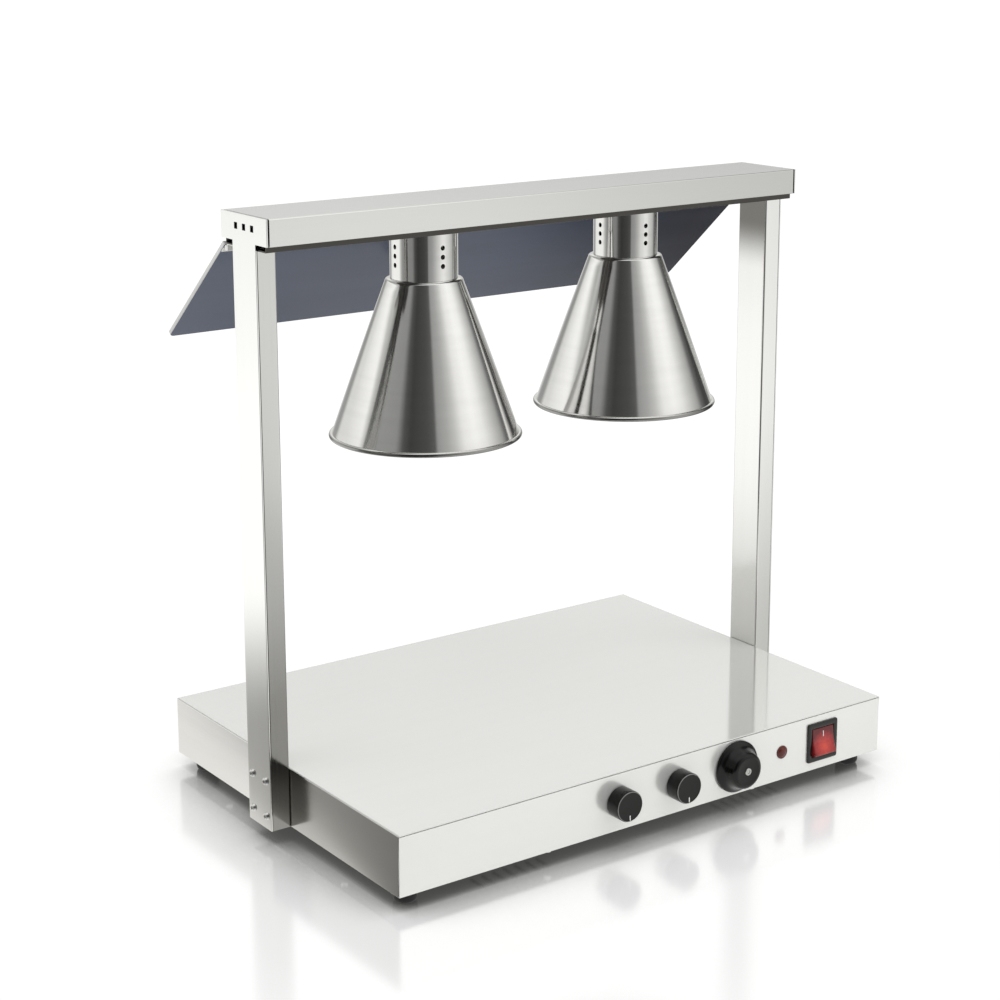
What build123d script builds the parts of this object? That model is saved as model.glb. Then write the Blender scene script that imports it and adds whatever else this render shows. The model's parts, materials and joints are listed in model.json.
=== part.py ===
"""Heat lamp warmer: heated base, two posts, overhead beam with two reflector
lamps and a tilting rear guard.

Frame: millimetres, Z up, X along the beam, the control panel faces -Y, and
z = 0 is the plane the rubber feet stand on.
"""
from build123d import *
import math
import os

# ---------------------------------------------------------------- driving dims
BASE_W = 560.0          # base box, across the front
BASE_D = 400.0          # base box, front to back
BASE_H = 56.0           # base box height without the feet
FOOT_H = 15.0           # the box stands this far above the table
SHEET = 1.2             # stainless sheet of the base and beam
PAN_T = 1.2             # bottom pan sheet
FLANGE = 12.0           # inward return at the bottom of the walls

POST_X = 20.0           # post section across the beam's length
POST_Y = 40.0           # post section front to back
POST_T = 1.5            # post wall

BEAM_D = 80.0           # beam front to back
BEAM_H = 24.0           # height of the beam's front face
LIP_H = 5.5             # how far the dark pan shows below the front face
PAN_HALF = 35.0         # half depth of the beam pan
TOTAL_H = 571.0         # table to the top of the beam

LAMP_X = 116.5          # lamp axes left and right of the middle
NECK_R = 31.0
SHADE_TOP_R = 36.0
SHADE_RIM_R = 89.0
SHADE_TOP_Z = 499.0
SHADE_RIM_Z = 352.0
SHADE_T = 1.0
RIM_BEAD_R = 2.25
NECK_HOLES_Z = (512.5, 520.8, 529.1)
NECK_HOLE_D = 4.5

GUARD_TILT = 41.4       # degrees below horizontal at rest
GUARD_L = 150.0         # along the slope
GUARD_W = 596.0
GUARD_T = 4.0

CTRL_Z = 43.0           # height of all control axes
DIMMER_X = (-45.0, 24.0)
DIMMER_KNOB_D = 29.0
DIMMER_OUT = 16.0       # knob face in front of the panel
THERMO_X = 94.0
THERMO_SKIRT_D = 50.0
THERMO_OUT = 18.0
LAMP_PILOT_X = 152.0
PILOT_D = 13.0
SWITCH_X = 203.5
BEZEL_W = 38.0
BEZEL_H = 39.0
GLAND_X = 200.0
GLAND_BORE_R = 3.6

# ------------------------------------------------------------- derived numbers
X0, X1 = -BASE_W / 2, BASE_W / 2
Y0, Y1 = -BASE_D / 2, BASE_D / 2
Z0, Z1 = FOOT_H, FOOT_H + BASE_H
XB = X1 + POST_X                      # outer face of the posts and beam ends
ZB1 = TOTAL_H
ZB0 = TOTAL_H - BEAM_H                # lower edge of the beam's front face
ZLIP = ZB0 - LIP_H                    # underside of the beam pan

os.makedirs("parts", exist_ok=True)
PARTS = {}


def box(x0, x1, y0, y1, z0, z1):
    return Pos((x0 + x1) / 2, (y0 + y1) / 2, (z0 + z1) / 2) * Box(x1 - x0, y1 - y0, z1 - z0)


def cyl_z(x, y, r, z0, z1):
    return Pos(x, y, (z0 + z1) / 2) * Cylinder(r, z1 - z0)


def cyl_y(x, z, r, y0, y1):
    return Pos(x, (y0 + y1) / 2, z) * (Rot(90, 0, 0) * Cylinder(r, y1 - y0))


def cyl_x(y, z, r, x0, x1):
    return Pos((x0 + x1) / 2, y, z) * (Rot(0, 90, 0) * Cylinder(r, x1 - x0))


def hex_z(x, y, af, z0, z1):
    return Pos(x, y, z0) * extrude(RegularPolygon(af / math.sqrt(3), 6), amount=z1 - z0)


def hex_y(x, z, af, y0, y1):
    return Pos(x, y1, z) * (Rot(90, 0, 0) * extrude(RegularPolygon(af / math.sqrt(3), 6), amount=y1 - y0))


def hex_x(y, z, af, x0, x1):
    return Pos(x0, y, z) * (Rot(0, 90, 0) * extrude(RegularPolygon(af / math.sqrt(3), 6), amount=x1 - x0))


def spin_z(points, x=0.0, y=0.0):
    """Closed (radius, z) outline turned about the vertical through x, y."""
    face = make_face(Polyline(*[(r, 0, z) for r, z in points], close=True))
    return Pos(x, y, 0) * revolve(face, axis=Axis.Z)


def spin_y(points, x, z):
    """Closed (radius, y) outline turned about the line along Y through x, z."""
    face = make_face(Polyline(*[(r, yy, 0) for r, yy in points], close=True))
    return Pos(x, 0, z) * revolve(face, axis=Axis.Y)


def wire(points, r, bend):
    path = FilletPolyline(*points, radius=bend)
    return sweep(Plane(origin=path @ 0, z_dir=path % 0) * Circle(r), path=path)


def many(shapes):
    return Compound(children=[s for s in shapes])


def pan_head_x(x_face, y, z, side, shank):
    """Screw along X whose domed head sits on the face at x_face; side is the outward sign."""
    pts = [(0, 2.4), (1.6, 2.4), (3.1, 1.7), (4.0, 0.0), (2.45, 0.0), (2.45, -shank), (0, -shank)]
    face = make_face(Polyline(*[(r, 0, h) for r, h in pts], close=True))
    s = revolve(face, axis=Axis.Z)
    s -= Pos(0, 0, 1.9) * Box(3.6, 0.9, 1.4)
    s -= Pos(0, 0, 1.9) * Box(0.9, 3.6, 1.4)
    return Pos(x_face, y, z) * (Rot(0, 90 * side, 0) * s)


# ------------------------------------------------------------------- base shell
def base_top_cover():
    shell = box(X0, X1, Y0, Y1, Z0, Z1)
    top_edges = shell.edges().filter_by_position(Axis.Z, Z1, Z1)
    keep = [e for e in top_edges if abs(e.center().Y - Y0) > 1]
    back_v = [e for e in shell.edges().filter_by(Axis.Z) if e.center().Y > 0]
    shell = fillet(keep + back_v, 1.6)
    shell -= box(X0 + SHEET, X1 - SHEET, Y0 - 5, Y1 - SHEET, Z0 - 1, Z1 - SHEET)
    shell -= box(X0 - 1, X1 + 1, Y0 - 5, Y0 + SHEET + 0.4, Z0 - 1, Z1 - SHEET)
    # inward returns at the bottom of the side and rear walls
    ret = box(X0 + SHEET, X0 + FLANGE, Y0 + 16, Y1 - SHEET, Z0, Z0 + SHEET)
    ret += box(X1 - FLANGE, X1 - SHEET, Y0 + 16, Y1 - SHEET, Z0, Z0 + SHEET)
    ret += box(X0 + FLANGE, X1 - FLANGE, Y1 - FLANGE, Y1 - SHEET, Z0, Z0 + SHEET)
    shell += ret
    for sx in (-1, 1):
        for y in (-12, 12):
            for z in (Z0 + 12.4, Z0 + 46.0):
                shell -= cyl_x(y, z, 2.6, min(sx * (X1 - 3), sx * (X1 + 3)), max(sx * (X1 - 3), sx * (X1 + 3)))
    shell -= cyl_x(0, 43, 8.0, X0 - 3, X0 + 3)              # wiring, left wall
    shell -= cyl_y(GLAND_X, CTRL_Z, 6.3, Y1 - 3, Y1 + 3)    # cable gland, rear wall
    for x, y in PAN_SCREWS:
        if abs(x) > X1 - FLANGE or y > Y1 - FLANGE:
            shell -= cyl_z(x, y, 1.75, Z0 - 1, Z0 + SHEET + 1)
    return shell


PAN_SCREWS = [(-273.0, -100.0), (-273.0, 110.0), (273.0, -100.0), (273.0, 110.0),
              (-120.0, 193.0), (120.0, 193.0), (-120.0, -193.0), (120.0, -193.0)]
FEET = [(sx * 260.0, sy * 178.0) for sx in (-1, 1) for sy in (-1, 1)]


def control_panel():
    p = box(X0, X1, Y0, Y0 + SHEET, Z0, Z1 - SHEET - 0.5)
    p += box(X0 + 14, X1 - 14, Y0 + SHEET, Y0 + FLANGE, Z0, Z0 + SHEET)
    p += box(X0 + 14, X1 - 14, Y0 + SHEET, Y0 + FLANGE, Z1 - 2 * SHEET - 0.5, Z1 - SHEET - 0.5)
    p += box(X0 + 1.8, X0 + 3.0, Y0 + SHEET, Y0 + FLANGE, Z0 + 3, Z1 - 5)
    p += box(X1 - 3.0, X1 - 1.8, Y0 + SHEET, Y0 + FLANGE, Z0 + 3, Z1 - 5)
    for x in DIMMER_X:
        p -= cyl_y(x, CTRL_Z, 3.6, Y0 - 3, Y0 + 3)
    p -= cyl_y(THERMO_X, CTRL_Z, 5.0, Y0 - 3, Y0 + 3)
    for s in (-1, 1):
        p -= cyl_y(THERMO_X + s * 14, CTRL_Z, 2.1, Y0 - 3, Y0 + 3)
    p -= cyl_y(LAMP_PILOT_X, CTRL_Z, 5.1, Y0 - 3, Y0 + 3)
    p -= box(SWITCH_X - 16.5, SWITCH_X + 16.5, Y0 - 3, Y0 + 3, CTRL_Z - 17, CTRL_Z + 17)
    for x, y in PAN_SCREWS:
        if y < Y0 + FLANGE:
            p -= cyl_z(x, y, 1.75, Z0 - 1, Z0 + SHEET + 1)
    return p


def bottom_pan():
    z0, z1 = Z0 - PAN_T, Z0
    p = box(X0 + 3, X1 - 3, Y0 + 3, Y1 - 3, z0, z1)
    p = fillet(p.edges().filter_by(Axis.Z), 4)
    # stiffening upturns that locate the pan between the returns
    p += box(X0 + 16, X1 - 16, Y0 + 16, Y0 + 17.2, z1, z1 + 8)
    p += box(X0 + 16, X1 - 16, Y1 - 17.2, Y1 - 16, z1, z1 + 8)
    for i in range(7):
        for cx in (-140.0, 140.0):
            for cy in (-165.0, 150.0):
                p -= box(cx - 36 + 12 * i - 1.5, cx - 36 + 12 * i + 1.5, cy - 11, cy + 11, z0 - 1, z1 + 1)
    for x, y in PAN_SCREWS:
        p -= cyl_z(x, y, 2.1, z0 - 1, z1 + 1)
    for x, y in FEET:
        p -= cyl_z(x, y, 2.1, z0 - 1, z1 + 1)
    return p


def rubber_feet():
    out = []
    zt = Z0 - PAN_T
    for x, y in FEET:
        pts = [(2.1, 5.0), (5.0, 5.0), (5.0, 0.0), (8.6, 0.0), (9.6, 0.5), (10.3, 2.0), (10.9, zt - 1.0), (10.6, zt), (2.1, zt)]
        out.append(spin_z(pts, x, y))
    return many(out)


def underside_screws():
    out = []
    zt = Z0 - PAN_T
    for x, y in FEET:
        # head in the foot's pocket, shank up through the pan, nut on top of it
        s = cyl_z(x, y, 3.6, 2.6, 5.0) + cyl_z(x, y, 1.95, 5.0, Z0 + 5.5)
        n = hex_z(x, y, 7.0, Z0, Z0 + 3.2) - cyl_z(x, y, 1.95, Z0 - 1, Z0 + 4)
        out += [s, n]
    for x, y in PAN_SCREWS:
        s = cyl_z(x, y, 1.75, zt, Z0 + 6.0) + spin_z([(0, zt), (3.6, zt), (3.2, zt - 1.4), (1.6, zt - 2.2), (0, zt - 2.2)], x, y)
        s -= box(x - 1.8, x + 1.8, y - 0.45, y + 0.45, zt - 2.4, zt - 1.2)
        s -= box(x - 0.45, x + 0.45, y - 1.8, y + 1.8, zt - 2.4, zt - 1.2)
        out.append(s)
    return many(out)


# ---------------------------------------------------------------- heated plate
SP_Z0, SP_Z1 = Z1 - SHEET - 1.5, Z1 - SHEET            # spreader
EL_R = 3.2
EL_Z = SP_Z0 - EL_R
LEGS_Y = (-90.0, -20.0, 50.0, 120.0)
TERM_X = 222.0
STRAPS_X = (-150.0, -50.0, 50.0, 150.0)


def heat_spreader():
    p = box(-216, 216, -128, 168, SP_Z0, SP_Z1)
    return fillet(p.edges().filter_by(Axis.Z), 8)


def heating_element():
    e = 195.0
    pts = [(TERM_X, LEGS_Y[0], EL_Z), (-e, LEGS_Y[0], EL_Z), (-e, LEGS_Y[1], EL_Z), (e - 20, LEGS_Y[1], EL_Z),
           (e - 20, LEGS_Y[2], EL_Z), (-e, LEGS_Y[2], EL_Z), (-e, LEGS_Y[3], EL_Z), (TERM_X, LEGS_Y[3], EL_Z)]
    return wire(pts, EL_R, 30)


def element_terminals():
    out = []
    for y in (LEGS_Y[0], LEGS_Y[3]):
        bead = cyl_x(y, EL_Z, 4.6, TERM_X, TERM_X + 7) - cyl_x(y, EL_Z, 1.25, TERM_X - 1, TERM_X + 8)
        pin = cyl_x(y, EL_Z, 1.25, TERM_X, TERM_X + 15)
        out += [bead, pin]
    return many(out)


def element_straps():
    out = []
    zb = EL_Z - EL_R
    for x in STRAPS_X:
        s = box(x - 6, x + 6, LEGS_Y[0] - 22, LEGS_Y[3] + 22, zb - 1.0, zb)
        for y in (LEGS_Y[0] - 15, 15.0, LEGS_Y[3] + 15):
            s -= cyl_z(x, y, 2.0, zb - 2, zb + 1)
            stud = cyl_z(x, y, 2.0, zb - 4.4, SP_Z0)
            nut = hex_z(x, y, 7.0, zb - 4.2, zb - 1.0) - cyl_z(x, y, 2.0, zb - 5, zb)
            out += [stud, nut]
        out.append(s)
    return many(out)


BL_Z0, BL_Z1 = 42.0, 55.5


def insulation_blanket():
    return box(-246, 246, -134, 174, BL_Z0, BL_Z1)


def insulation_tray():
    t = box(-248, 248, -136, 176, BL_Z0 - 0.8, SP_Z1)
    t -= box(-247.2, 247.2, -135.2, 175.2, BL_Z0, SP_Z1 + 1)
    t += box(-256, -248, -136, 176, SP_Z1 - 0.8, SP_Z1)
    t += box(248, 256, -136, 176, SP_Z1 - 0.8, SP_Z1)
    for y in (LEGS_Y[0], LEGS_Y[3]):
        t -= box(240, 250, y - 7, y + 7, EL_Z - 7, EL_Z + 5.5)      # element leads
    t -= box(84, 104, -140, -130, 56.5, 67.5)                     # capillary
    return t


# -------------------------------------------------------------------- controls
def thermostat_body():
    x = THERMO_X
    yb = Y0 + SHEET
    b = box(x - 21, x + 21, yb, yb + 3, CTRL_Z - 15, CTRL_Z + 15)
    b += box(x - 17, x + 17, yb + 3, yb + 27, CTRL_Z - 15, CTRL_Z + 15)
    b = fillet(b.edges().filter_by(Axis.Y), 1.5)
    b += cyl_y(x, CTRL_Z, 4.9, Y0 - 0.4, yb + 0.5)
    b -= cyl_y(x, CTRL_Z, 3.05, Y0 - 2, yb + 16.2)
    for s in (-1, 1):
        b -= cyl_y(x + s * 14, CTRL_Z, 1.95, yb - 1, yb + 7)
    for s in (-8, 8):
        b += box(x + s - 3.15, x + s + 3.15, yb + 27, yb + 36, CTRL_Z + 4.6, CTRL_Z + 5.4)
    return b


def thermostat_screws():
    out = []
    for s in (-1, 1):
        x = THERMO_X + s * 14
        h = spin_y([(0, Y0), (3.6, Y0), (3.3, Y0 - 1.3), (1.8, Y0 - 2.0), (0, Y0 - 2.0)], x, CTRL_Z)
        out.append(h + cyl_y(x, CTRL_Z, 1.95, Y0, Y0 + 7.5))
    return many(out)


def thermostat_shaft():
    s = cyl_y(THERMO_X, CTRL_Z, 3.0, Y0 - 12.0, Y0 + 16.0)
    s -= box(THERMO_X - 4, THERMO_X + 4, Y0 - 12.5, Y0 - 4.5, CTRL_Z + 1.6, CTRL_Z + 4)
    return s


def thermostat_knob():
    x, z = THERMO_X, CTRL_Z
    R = THERMO_SKIRT_D / 2
    yf = Y0 - THERMO_OUT
    pts = [(0, yf), (11.6, yf), (13.6, yf + 0.7), (15.0, yf + 2.4), (17.2, yf + 10.6), (18.6, yf + 11.6),
           (20.6, yf + 11.8), (21.4, yf + 12.6), (23.6, yf + 13.4), (24.7, yf + 14.2), (R, yf + 15.2), (R, Y0 - 0.7),
           (21.4, Y0 - 0.7), (21.4, Y0 - 3.4), (9.0, Y0 - 3.4), (9.0, Y0 - 4.0), (0, Y0 - 4.0)]
    k = spin_y(pts, x, z)
    # the D bore for the shaft, and the seat of the face insert
    bore = cyl_y(x, z, 3.0, Y0 - 12.0, Y0 - 3.0)
    bore -= box(x - 4, x + 4, Y0 - 12.5, Y0 - 4.5, z + 1.6, z + 4)
    k -= bore
    k -= cyl_y(x, z, 3.6, yf - 1, yf + 1.6)
    return k


def thermostat_knob_insert():
    x, z = THERMO_X, CTRL_Z
    yf = Y0 - THERMO_OUT
    return spin_y([(0, yf + 1.6), (3.6, yf + 1.6), (3.6, yf + 0.3), (3.3, yf), (2.1, yf), (1.9, yf + 0.6), (0, yf + 0.6)], x, z)


def thermostat_capillary():
    """Thin tube under the first leg of the element to a sensing bulb on the spreader."""
    x = THERMO_X
    yb = Y0 + SHEET + 27
    zb = SP_Z0 - 3.0
    tube = wire([(x, yb, 38.0), (x, -150.0, 38.0), (x, -150.0, 58.4), (x, -83.0, 58.4), (x, -83.0, zb), (x, -79.0, zb)], 1.0, 2.0)
    return tube + cyl_y(x, zb, 3.0, -80.0, -30.0)


def dimmer_body(x):
    yb = Y0 + SHEET
    b = box(x - 14, x + 14, yb, yb + 20, CTRL_Z - 13, CTRL_Z + 13)
    b = fillet(b.edges().filter_by(Axis.Y), 1.2)
    b += cyl_y(x, CTRL_Z, 3.5, Y0 - 5.0, yb + 0.5)
    b -= cyl_y(x, CTRL_Z, 2.05, Y0 - 6, yb + 10.2)
    for s in (-7, 0, 7):
        b += box(x + s - 2.4, x + s + 2.4, yb + 20, yb + 28, CTRL_Z - 0.4, CTRL_Z + 0.4)
    return b


def panel_nuts():
    out = [hex_y(LAMP_PILOT_X, CTRL_Z, 13.0, Y0 + SHEET, Y0 + SHEET + 3.5) - cyl_y(LAMP_PILOT_X, CTRL_Z, 5.0, Y0, Y0 + 8)]
    for x in DIMMER_X:
        n = hex_y(x, CTRL_Z, 10.0, Y0 - 2.8, Y0 - 0.8) - cyl_y(x, CTRL_Z, 3.5, Y0 - 4, Y0 + 1)
        w = cyl_y(x, CTRL_Z, 6.0, Y0 - 0.8, Y0) - cyl_y(x, CTRL_Z, 3.5, Y0 - 2, Y0 + 1)
        out += [n, w]
    return many(out)


def dimmer_shaft(x):
    s = cyl_y(x, CTRL_Z, 2.0, Y0 - 12.0, Y0 + SHEET + 10.0)
    s -= box(x - 3, x + 3, Y0 - 12.5, Y0 - 6.0, CTRL_Z + 1.1, CTRL_Z + 3)
    return s


def dimmer_knob(x):
    z = CTRL_Z
    R = DIMMER_KNOB_D / 2
    yf = Y0 - DIMMER_OUT
    pts = [(0, yf), (R - 0.9, yf), (R - 0.25, yf + 0.35), (R, yf + 1.0), (R, Y0 - 0.7), (R - 2.2, Y0 - 0.7),
           (R - 2.2, Y0 - 5.6), (0, Y0 - 5.6)]
    k = spin_y(pts, x, z)
    bore = cyl_y(x, z, 2.0, Y0 - 12.0, Y0 - 5.0)
    bore -= box(x - 3, x + 3, Y0 - 12.5, Y0 - 6.0, z + 1.1, z + 3)
    k -= bore
    k -= box(x - 0.6, x + 0.6, yf - 0.5, yf + 0.5, z - R + 1.1, z - R + 6.6)
    return k


def dimmer_pointer(x):
    R = DIMMER_KNOB_D / 2
    yf = Y0 - DIMMER_OUT
    return box(x - 0.6, x + 0.6, yf, yf + 0.5, CTRL_Z - R + 1.1, CTRL_Z - R + 6.6)


def indicator_lens():
    R = PILOT_D / 2
    pts = [(0, Y0 - 2.6), (2.4, Y0 - 2.4), (4.4, Y0 - 1.8), (R - 0.6, Y0 - 0.9), (R, Y0), (4.2, Y0), (4.2, Y0 + 3.0), (0, Y0 + 3.0)]
    return spin_y(pts, LAMP_PILOT_X, CTRL_Z)


def indicator_body():
    x = LAMP_PILOT_X
    b = cyl_y(x, CTRL_Z, 5.0, Y0, Y0 + 24) - cyl_y(x, CTRL_Z, 4.2, Y0 - 1, Y0 + 3.0)
    for s in (-2.6, 2.6):
        b += box(x + s - 0.4, x + s + 0.4, Y0 + 24, Y0 + 31, CTRL_Z - 1.4, CTRL_Z + 1.4)
    return b


# rocker: neutral outline about the pivot, then turned to the rest position
PIV_Y = Y0 - 0.2
ROCK_HALF = 13.0
ROCK_TILT = 12.0
ROCK_W = 13.5
OPEN_HALF_X = 13.9
OPEN_HALF_Z = 14.25


def switch_housing():
    x, z = SWITCH_X, CTRL_Z
    h = box(x - BEZEL_W / 2, x + BEZEL_W / 2, Y0 - 2.2, Y0, z - BEZEL_H / 2, z + BEZEL_H / 2)
    h = fillet(h.edges().filter_by(Axis.Y), 2.0)
    h = chamfer(h.faces().sort_by(Axis.Y)[0].edges(), 0.7)
    h += box(x - 16.3, x + 16.3, Y0, Y0 + 26, z - 16.8, z + 16.8)
    h -= box(x - OPEN_HALF_X, x + OPEN_HALF_X, Y0 - 4, Y0 + 12, z - OPEN_HALF_Z, z + OPEN_HALF_Z)
    for s in (-1, 1):
        h -= cyl_x(PIV_Y, z, 1.55, min(x + s * 13.5, x + s * 15.3), max(x + s * 13.5, x + s * 15.3))
    # snap ramps that hold the housing behind the panel
    for s in (-1, 1):
        h += box(x - 5, x + 5, Y0 + SHEET + 0.1, Y0 + 6, min(z + s * 16.5, z + s * 17.8), max(z + s * 16.5, z + s * 17.8))
    return h


def switch_rocker():
    x, z = SWITCH_X, CTRL_Z
    r = math.hypot(ROCK_HALF, 4.5)
    a0 = math.atan2(4.5, ROCK_HALF)
    pts = [(-4.5, ROCK_HALF), (-3.1, 0.0), (-4.5, -ROCK_HALF)]
    a1 = -0.32
    n = 6
    for i in range(1, n + 1):
        a = a0 + (a1 - a0) * i / n
        pts.append((-r * math.sin(a), -r * math.cos(a)))
    pts += [(8.0, -5.0), (8.0, 5.0)]
    for i in range(n, 0, -1):
        a = a0 + (a1 - a0) * i / n
        pts.append((-r * math.sin(a), r * math.cos(a)))
    face = make_face(Polyline(*[(0, y, zz) for y, zz in pts], close=True))
    b = extrude(face, amount=ROCK_W, dir=(1, 0, 0), both=True)
    b += cyl_x(0, 0, 1.5, -15.0, 15.0)
    # mark on the upper half
    b -= Pos(0, -3.9, 7.6) * (Rot(-6, 0, 0) * Box(1.0, 0.7, 5.0))
    return Pos(x, PIV_Y, z) * (Rot(-ROCK_TILT, 0, 0) * b)


def switch_terminals():
    out = []
    for dx in (-8.0, 8.0):
        for dz in (-8.0, 8.0):
            out.append(box(SWITCH_X + dx - 0.4, SWITCH_X + dx + 0.4, Y0 + 26, Y0 + 36, CTRL_Z + dz - 3.15, CTRL_Z + dz + 3.15))
    return many(out)


# --------------------------------------------------------- electrics in the base
def terminal_block():
    b = box(232, 266, -172, -152, Z0, Z0 + 18)
    b = fillet(b.edges().filter_by(Axis.Z), 1.5)
    for i in range(3):
        b -= cyl_z(239.0 + 10 * i, -162, 2.6, Z0 + 10, Z0 + 19)
        b -= cyl_y(239.0 + 10 * i, Z0 + 7, 1.6, -173, -151)
    return b


def earth_stud():
    x, y = -200.0, -165.0
    s = cyl_z(x, y, 2.5, Z0, Z0 + 18)
    out = [s]
    for z in (Z0, Z0 + 6.0):
        out.append(hex_z(x, y, 8.0, z, z + 4.0) - cyl_z(x, y, 2.5, z - 1, z + 5))
    return many(out)


def cable_gland():
    x, z = GLAND_X, CTRL_Z
    pts = [(GLAND_BORE_R, Y1 - SHEET - 8), (6.2, Y1 - SHEET - 8), (6.2, Y1), (9.6, Y1), (9.6, Y1 + 5), (8.4, Y1 + 5.4),
           (8.4, Y1 + 14.0), (6.4, Y1 + 18.0), (GLAND_BORE_R, Y1 + 18.0)]
    g = spin_y(pts, x, z)
    hexa = hex_y(x, z, 17.4, Y1 + 5.4, Y1 + 14.0) - cyl_y(x, z, GLAND_BORE_R, Y1 - 1, Y1 + 20)
    return g + hexa


def gland_locknut():
    x, z = GLAND_X, CTRL_Z
    n = hex_y(x, z, 17.0, Y1 - SHEET - 4.5, Y1 - SHEET)
    return n - cyl_y(x, z, 6.2, Y1 - 20, Y1)


# ------------------------------------------------------------------ posts, beam
POST_SCREW_YZ = [(y, z) for y in (-12.0, 12.0) for z in (Z0 + 12.4, Z0 + 46.0)]


def post(side):
    xi, xo = X1, XB
    p = box(xi, xo, -POST_Y / 2, POST_Y / 2, Z0, ZLIP)
    p -= box(xi + POST_T, xo - POST_T, -POST_Y / 2 + POST_T, POST_Y / 2 - POST_T, Z0 - 1, ZLIP - 2.0)
    # the outer skin runs on up and widens into the end plate of the beam
    plate = box(xo - POST_T, xo, -BEAM_D / 2, BEAM_D / 2, ZB0, ZB1)
    plate += box(xo - POST_T, xo, -POST_Y / 2, POST_Y / 2, ZLIP - 1.0, ZB0 + 1.0)
    p += plate
    for y in (-14.5, -0.5, 13.5):
        p -= box(xo - 4, xo + 2, y - 2.6, y + 2.6, Z0 + 545 - 2.8, Z0 + 545 + 2.8)
    for y, z in POST_SCREW_YZ:
        p -= cyl_x(y, z, 2.55, xi - 2, xo + 2)
    if side < 0:
        p -= cyl_z(xi + POST_X / 2, 0, 6.0, ZLIP - 5, ZLIP + 1)        # wiring, top
        p -= cyl_x(0, 43, 8.0, xi - 2, xi + 4)                          # wiring, bottom
    for y in (-13.0, 13.0):
        p -= cyl_z(xi + POST_X / 2 - 1, y, 2.0, ZLIP - 5, ZLIP + 1)
    if side < 0:
        p = mirror(p, about=Plane.YZ)
    return p


def post_screws():
    out = []
    for s in (-1, 1):
        for y, z in POST_SCREW_YZ:
            out.append(pan_head_x(s * XB, y, z, s, 29.0))
    return many(out)


def post_nuts():
    out = []
    for s in (-1, 1):
        for y, z in POST_SCREW_YZ:
            a, b = s * (X1 - SHEET), s * (X1 - SHEET - 4.0)
            n = hex_x(y, z, 8.0, min(a, b), max(a, b)) - cyl_x(y, z, 2.45, min(a, b) - 1, max(a, b) + 1)
            out.append(n)
    return many(out)


def wire_grommets():
    # base wall / post wall on the left, and post top / beam pan at the left
    g = cyl_x(0, 43, 8.0, -(X1 + POST_T), -(X1 - SHEET)) + cyl_x(0, 43, 10.5, -(X1 - SHEET), -(X1 - SHEET - 1.6))
    g -= cyl_x(0, 43, 5.0, -(X1 + 5), -(X1 - 8))
    h = cyl_z(-(X1 + 10), 0, 6.0, ZLIP - 2.0, ZLIP + SHEET) + cyl_z(-(X1 + 10), 0, 7.6, ZLIP + SHEET, ZLIP + SHEET + 1.6)
    h -= cyl_z(-(X1 + 10), 0, 4.0, ZLIP - 4, ZLIP + 5)
    return many([g, h])


def beam_cover():
    xe = XB - POST_T - 0.5
    c = box(-xe, xe, -BEAM_D / 2, BEAM_D / 2, ZB0, ZB1)
    c = fillet([e for e in c.edges().filter_by(Axis.X) if e.center().Z > ZB1 - 1], 1.4)
    c -= box(-xe - 1, xe + 1, -BEAM_D / 2 + SHEET, BEAM_D / 2 - SHEET, ZB0 - 1, ZB1 - SHEET)
    return c


def beam_pan():
    xe = XB - POST_T - 0.5
    zt = ZB1 - SHEET - 10.0
    p = box(-xe, xe, -PAN_HALF, PAN_HALF, ZLIP, zt)
    p = fillet([e for e in p.edges().filter_by(Axis.X) if e.center().Z < ZLIP + 1], 1.0)
    p -= box(-xe - 1, xe + 1, -PAN_HALF + SHEET, PAN_HALF - SHEET, ZLIP + SHEET, zt + 1)
    # outward returns that carry the cover
    p += box(-xe, xe, -BEAM_D / 2 + SHEET, -PAN_HALF + SHEET, zt - SHEET, zt)
    p += box(-xe, xe, PAN_HALF - SHEET, BEAM_D / 2 - SHEET, zt - SHEET, zt)
    for s in (-1, 1):
        p -= cyl_z(s * LAMP_X, 0, 21.5, ZLIP - 1, ZLIP + SHEET + 1)      # socket clearance
        for k in range(3):
            a = math.radians(90 + 120 * k)
            p -= cyl_z(s * LAMP_X + 26 * math.cos(a), 26 * math.sin(a), 1.75, ZLIP - 1, ZLIP + SHEET + 1)
        if s < 0:
            p -= cyl_z(s * (X1 + 10), 0, 6.0, ZLIP - 1, ZLIP + SHEET + 1)
        for y in (-13.0, 13.0):
            p -= cyl_z(s * (X1 + 9), y, 2.1, ZLIP - 1, ZLIP + SHEET + 1)
    for hx in HINGES_X:
        for d in (-5.0, 5.0):
            p -= cyl_z(hx + d, 27.0, 1.5, ZLIP - 1, ZLIP + SHEET + 1)
    return p


def beam_screws():
    """Pan-to-post screws and the three screws of each lamp neck."""
    out = []
    zt = ZLIP + SHEET
    for s in (-1, 1):
        for y in (-13.0, 13.0):
            x = s * (X1 + 9)
            out.append(cyl_z(x, y, 1.95, ZLIP - 4.5, zt) + spin_z([(0, zt), (3.4, zt), (3.0, zt + 1.6), (1.5, zt + 2.2), (0, zt + 2.2)], x, y))
        for k in range(3):
            a = math.radians(90 + 120 * k)
            x, y = s * LAMP_X + 26 * math.cos(a), 26 * math.sin(a)
            out.append(cyl_z(x, y, 1.7, ZLIP - 4.0, zt) + spin_z([(0, zt), (3.0, zt), (2.7, zt + 1.4), (1.4, zt + 2.0), (0, zt + 2.0)], x, y))
    return many(out)


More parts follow.
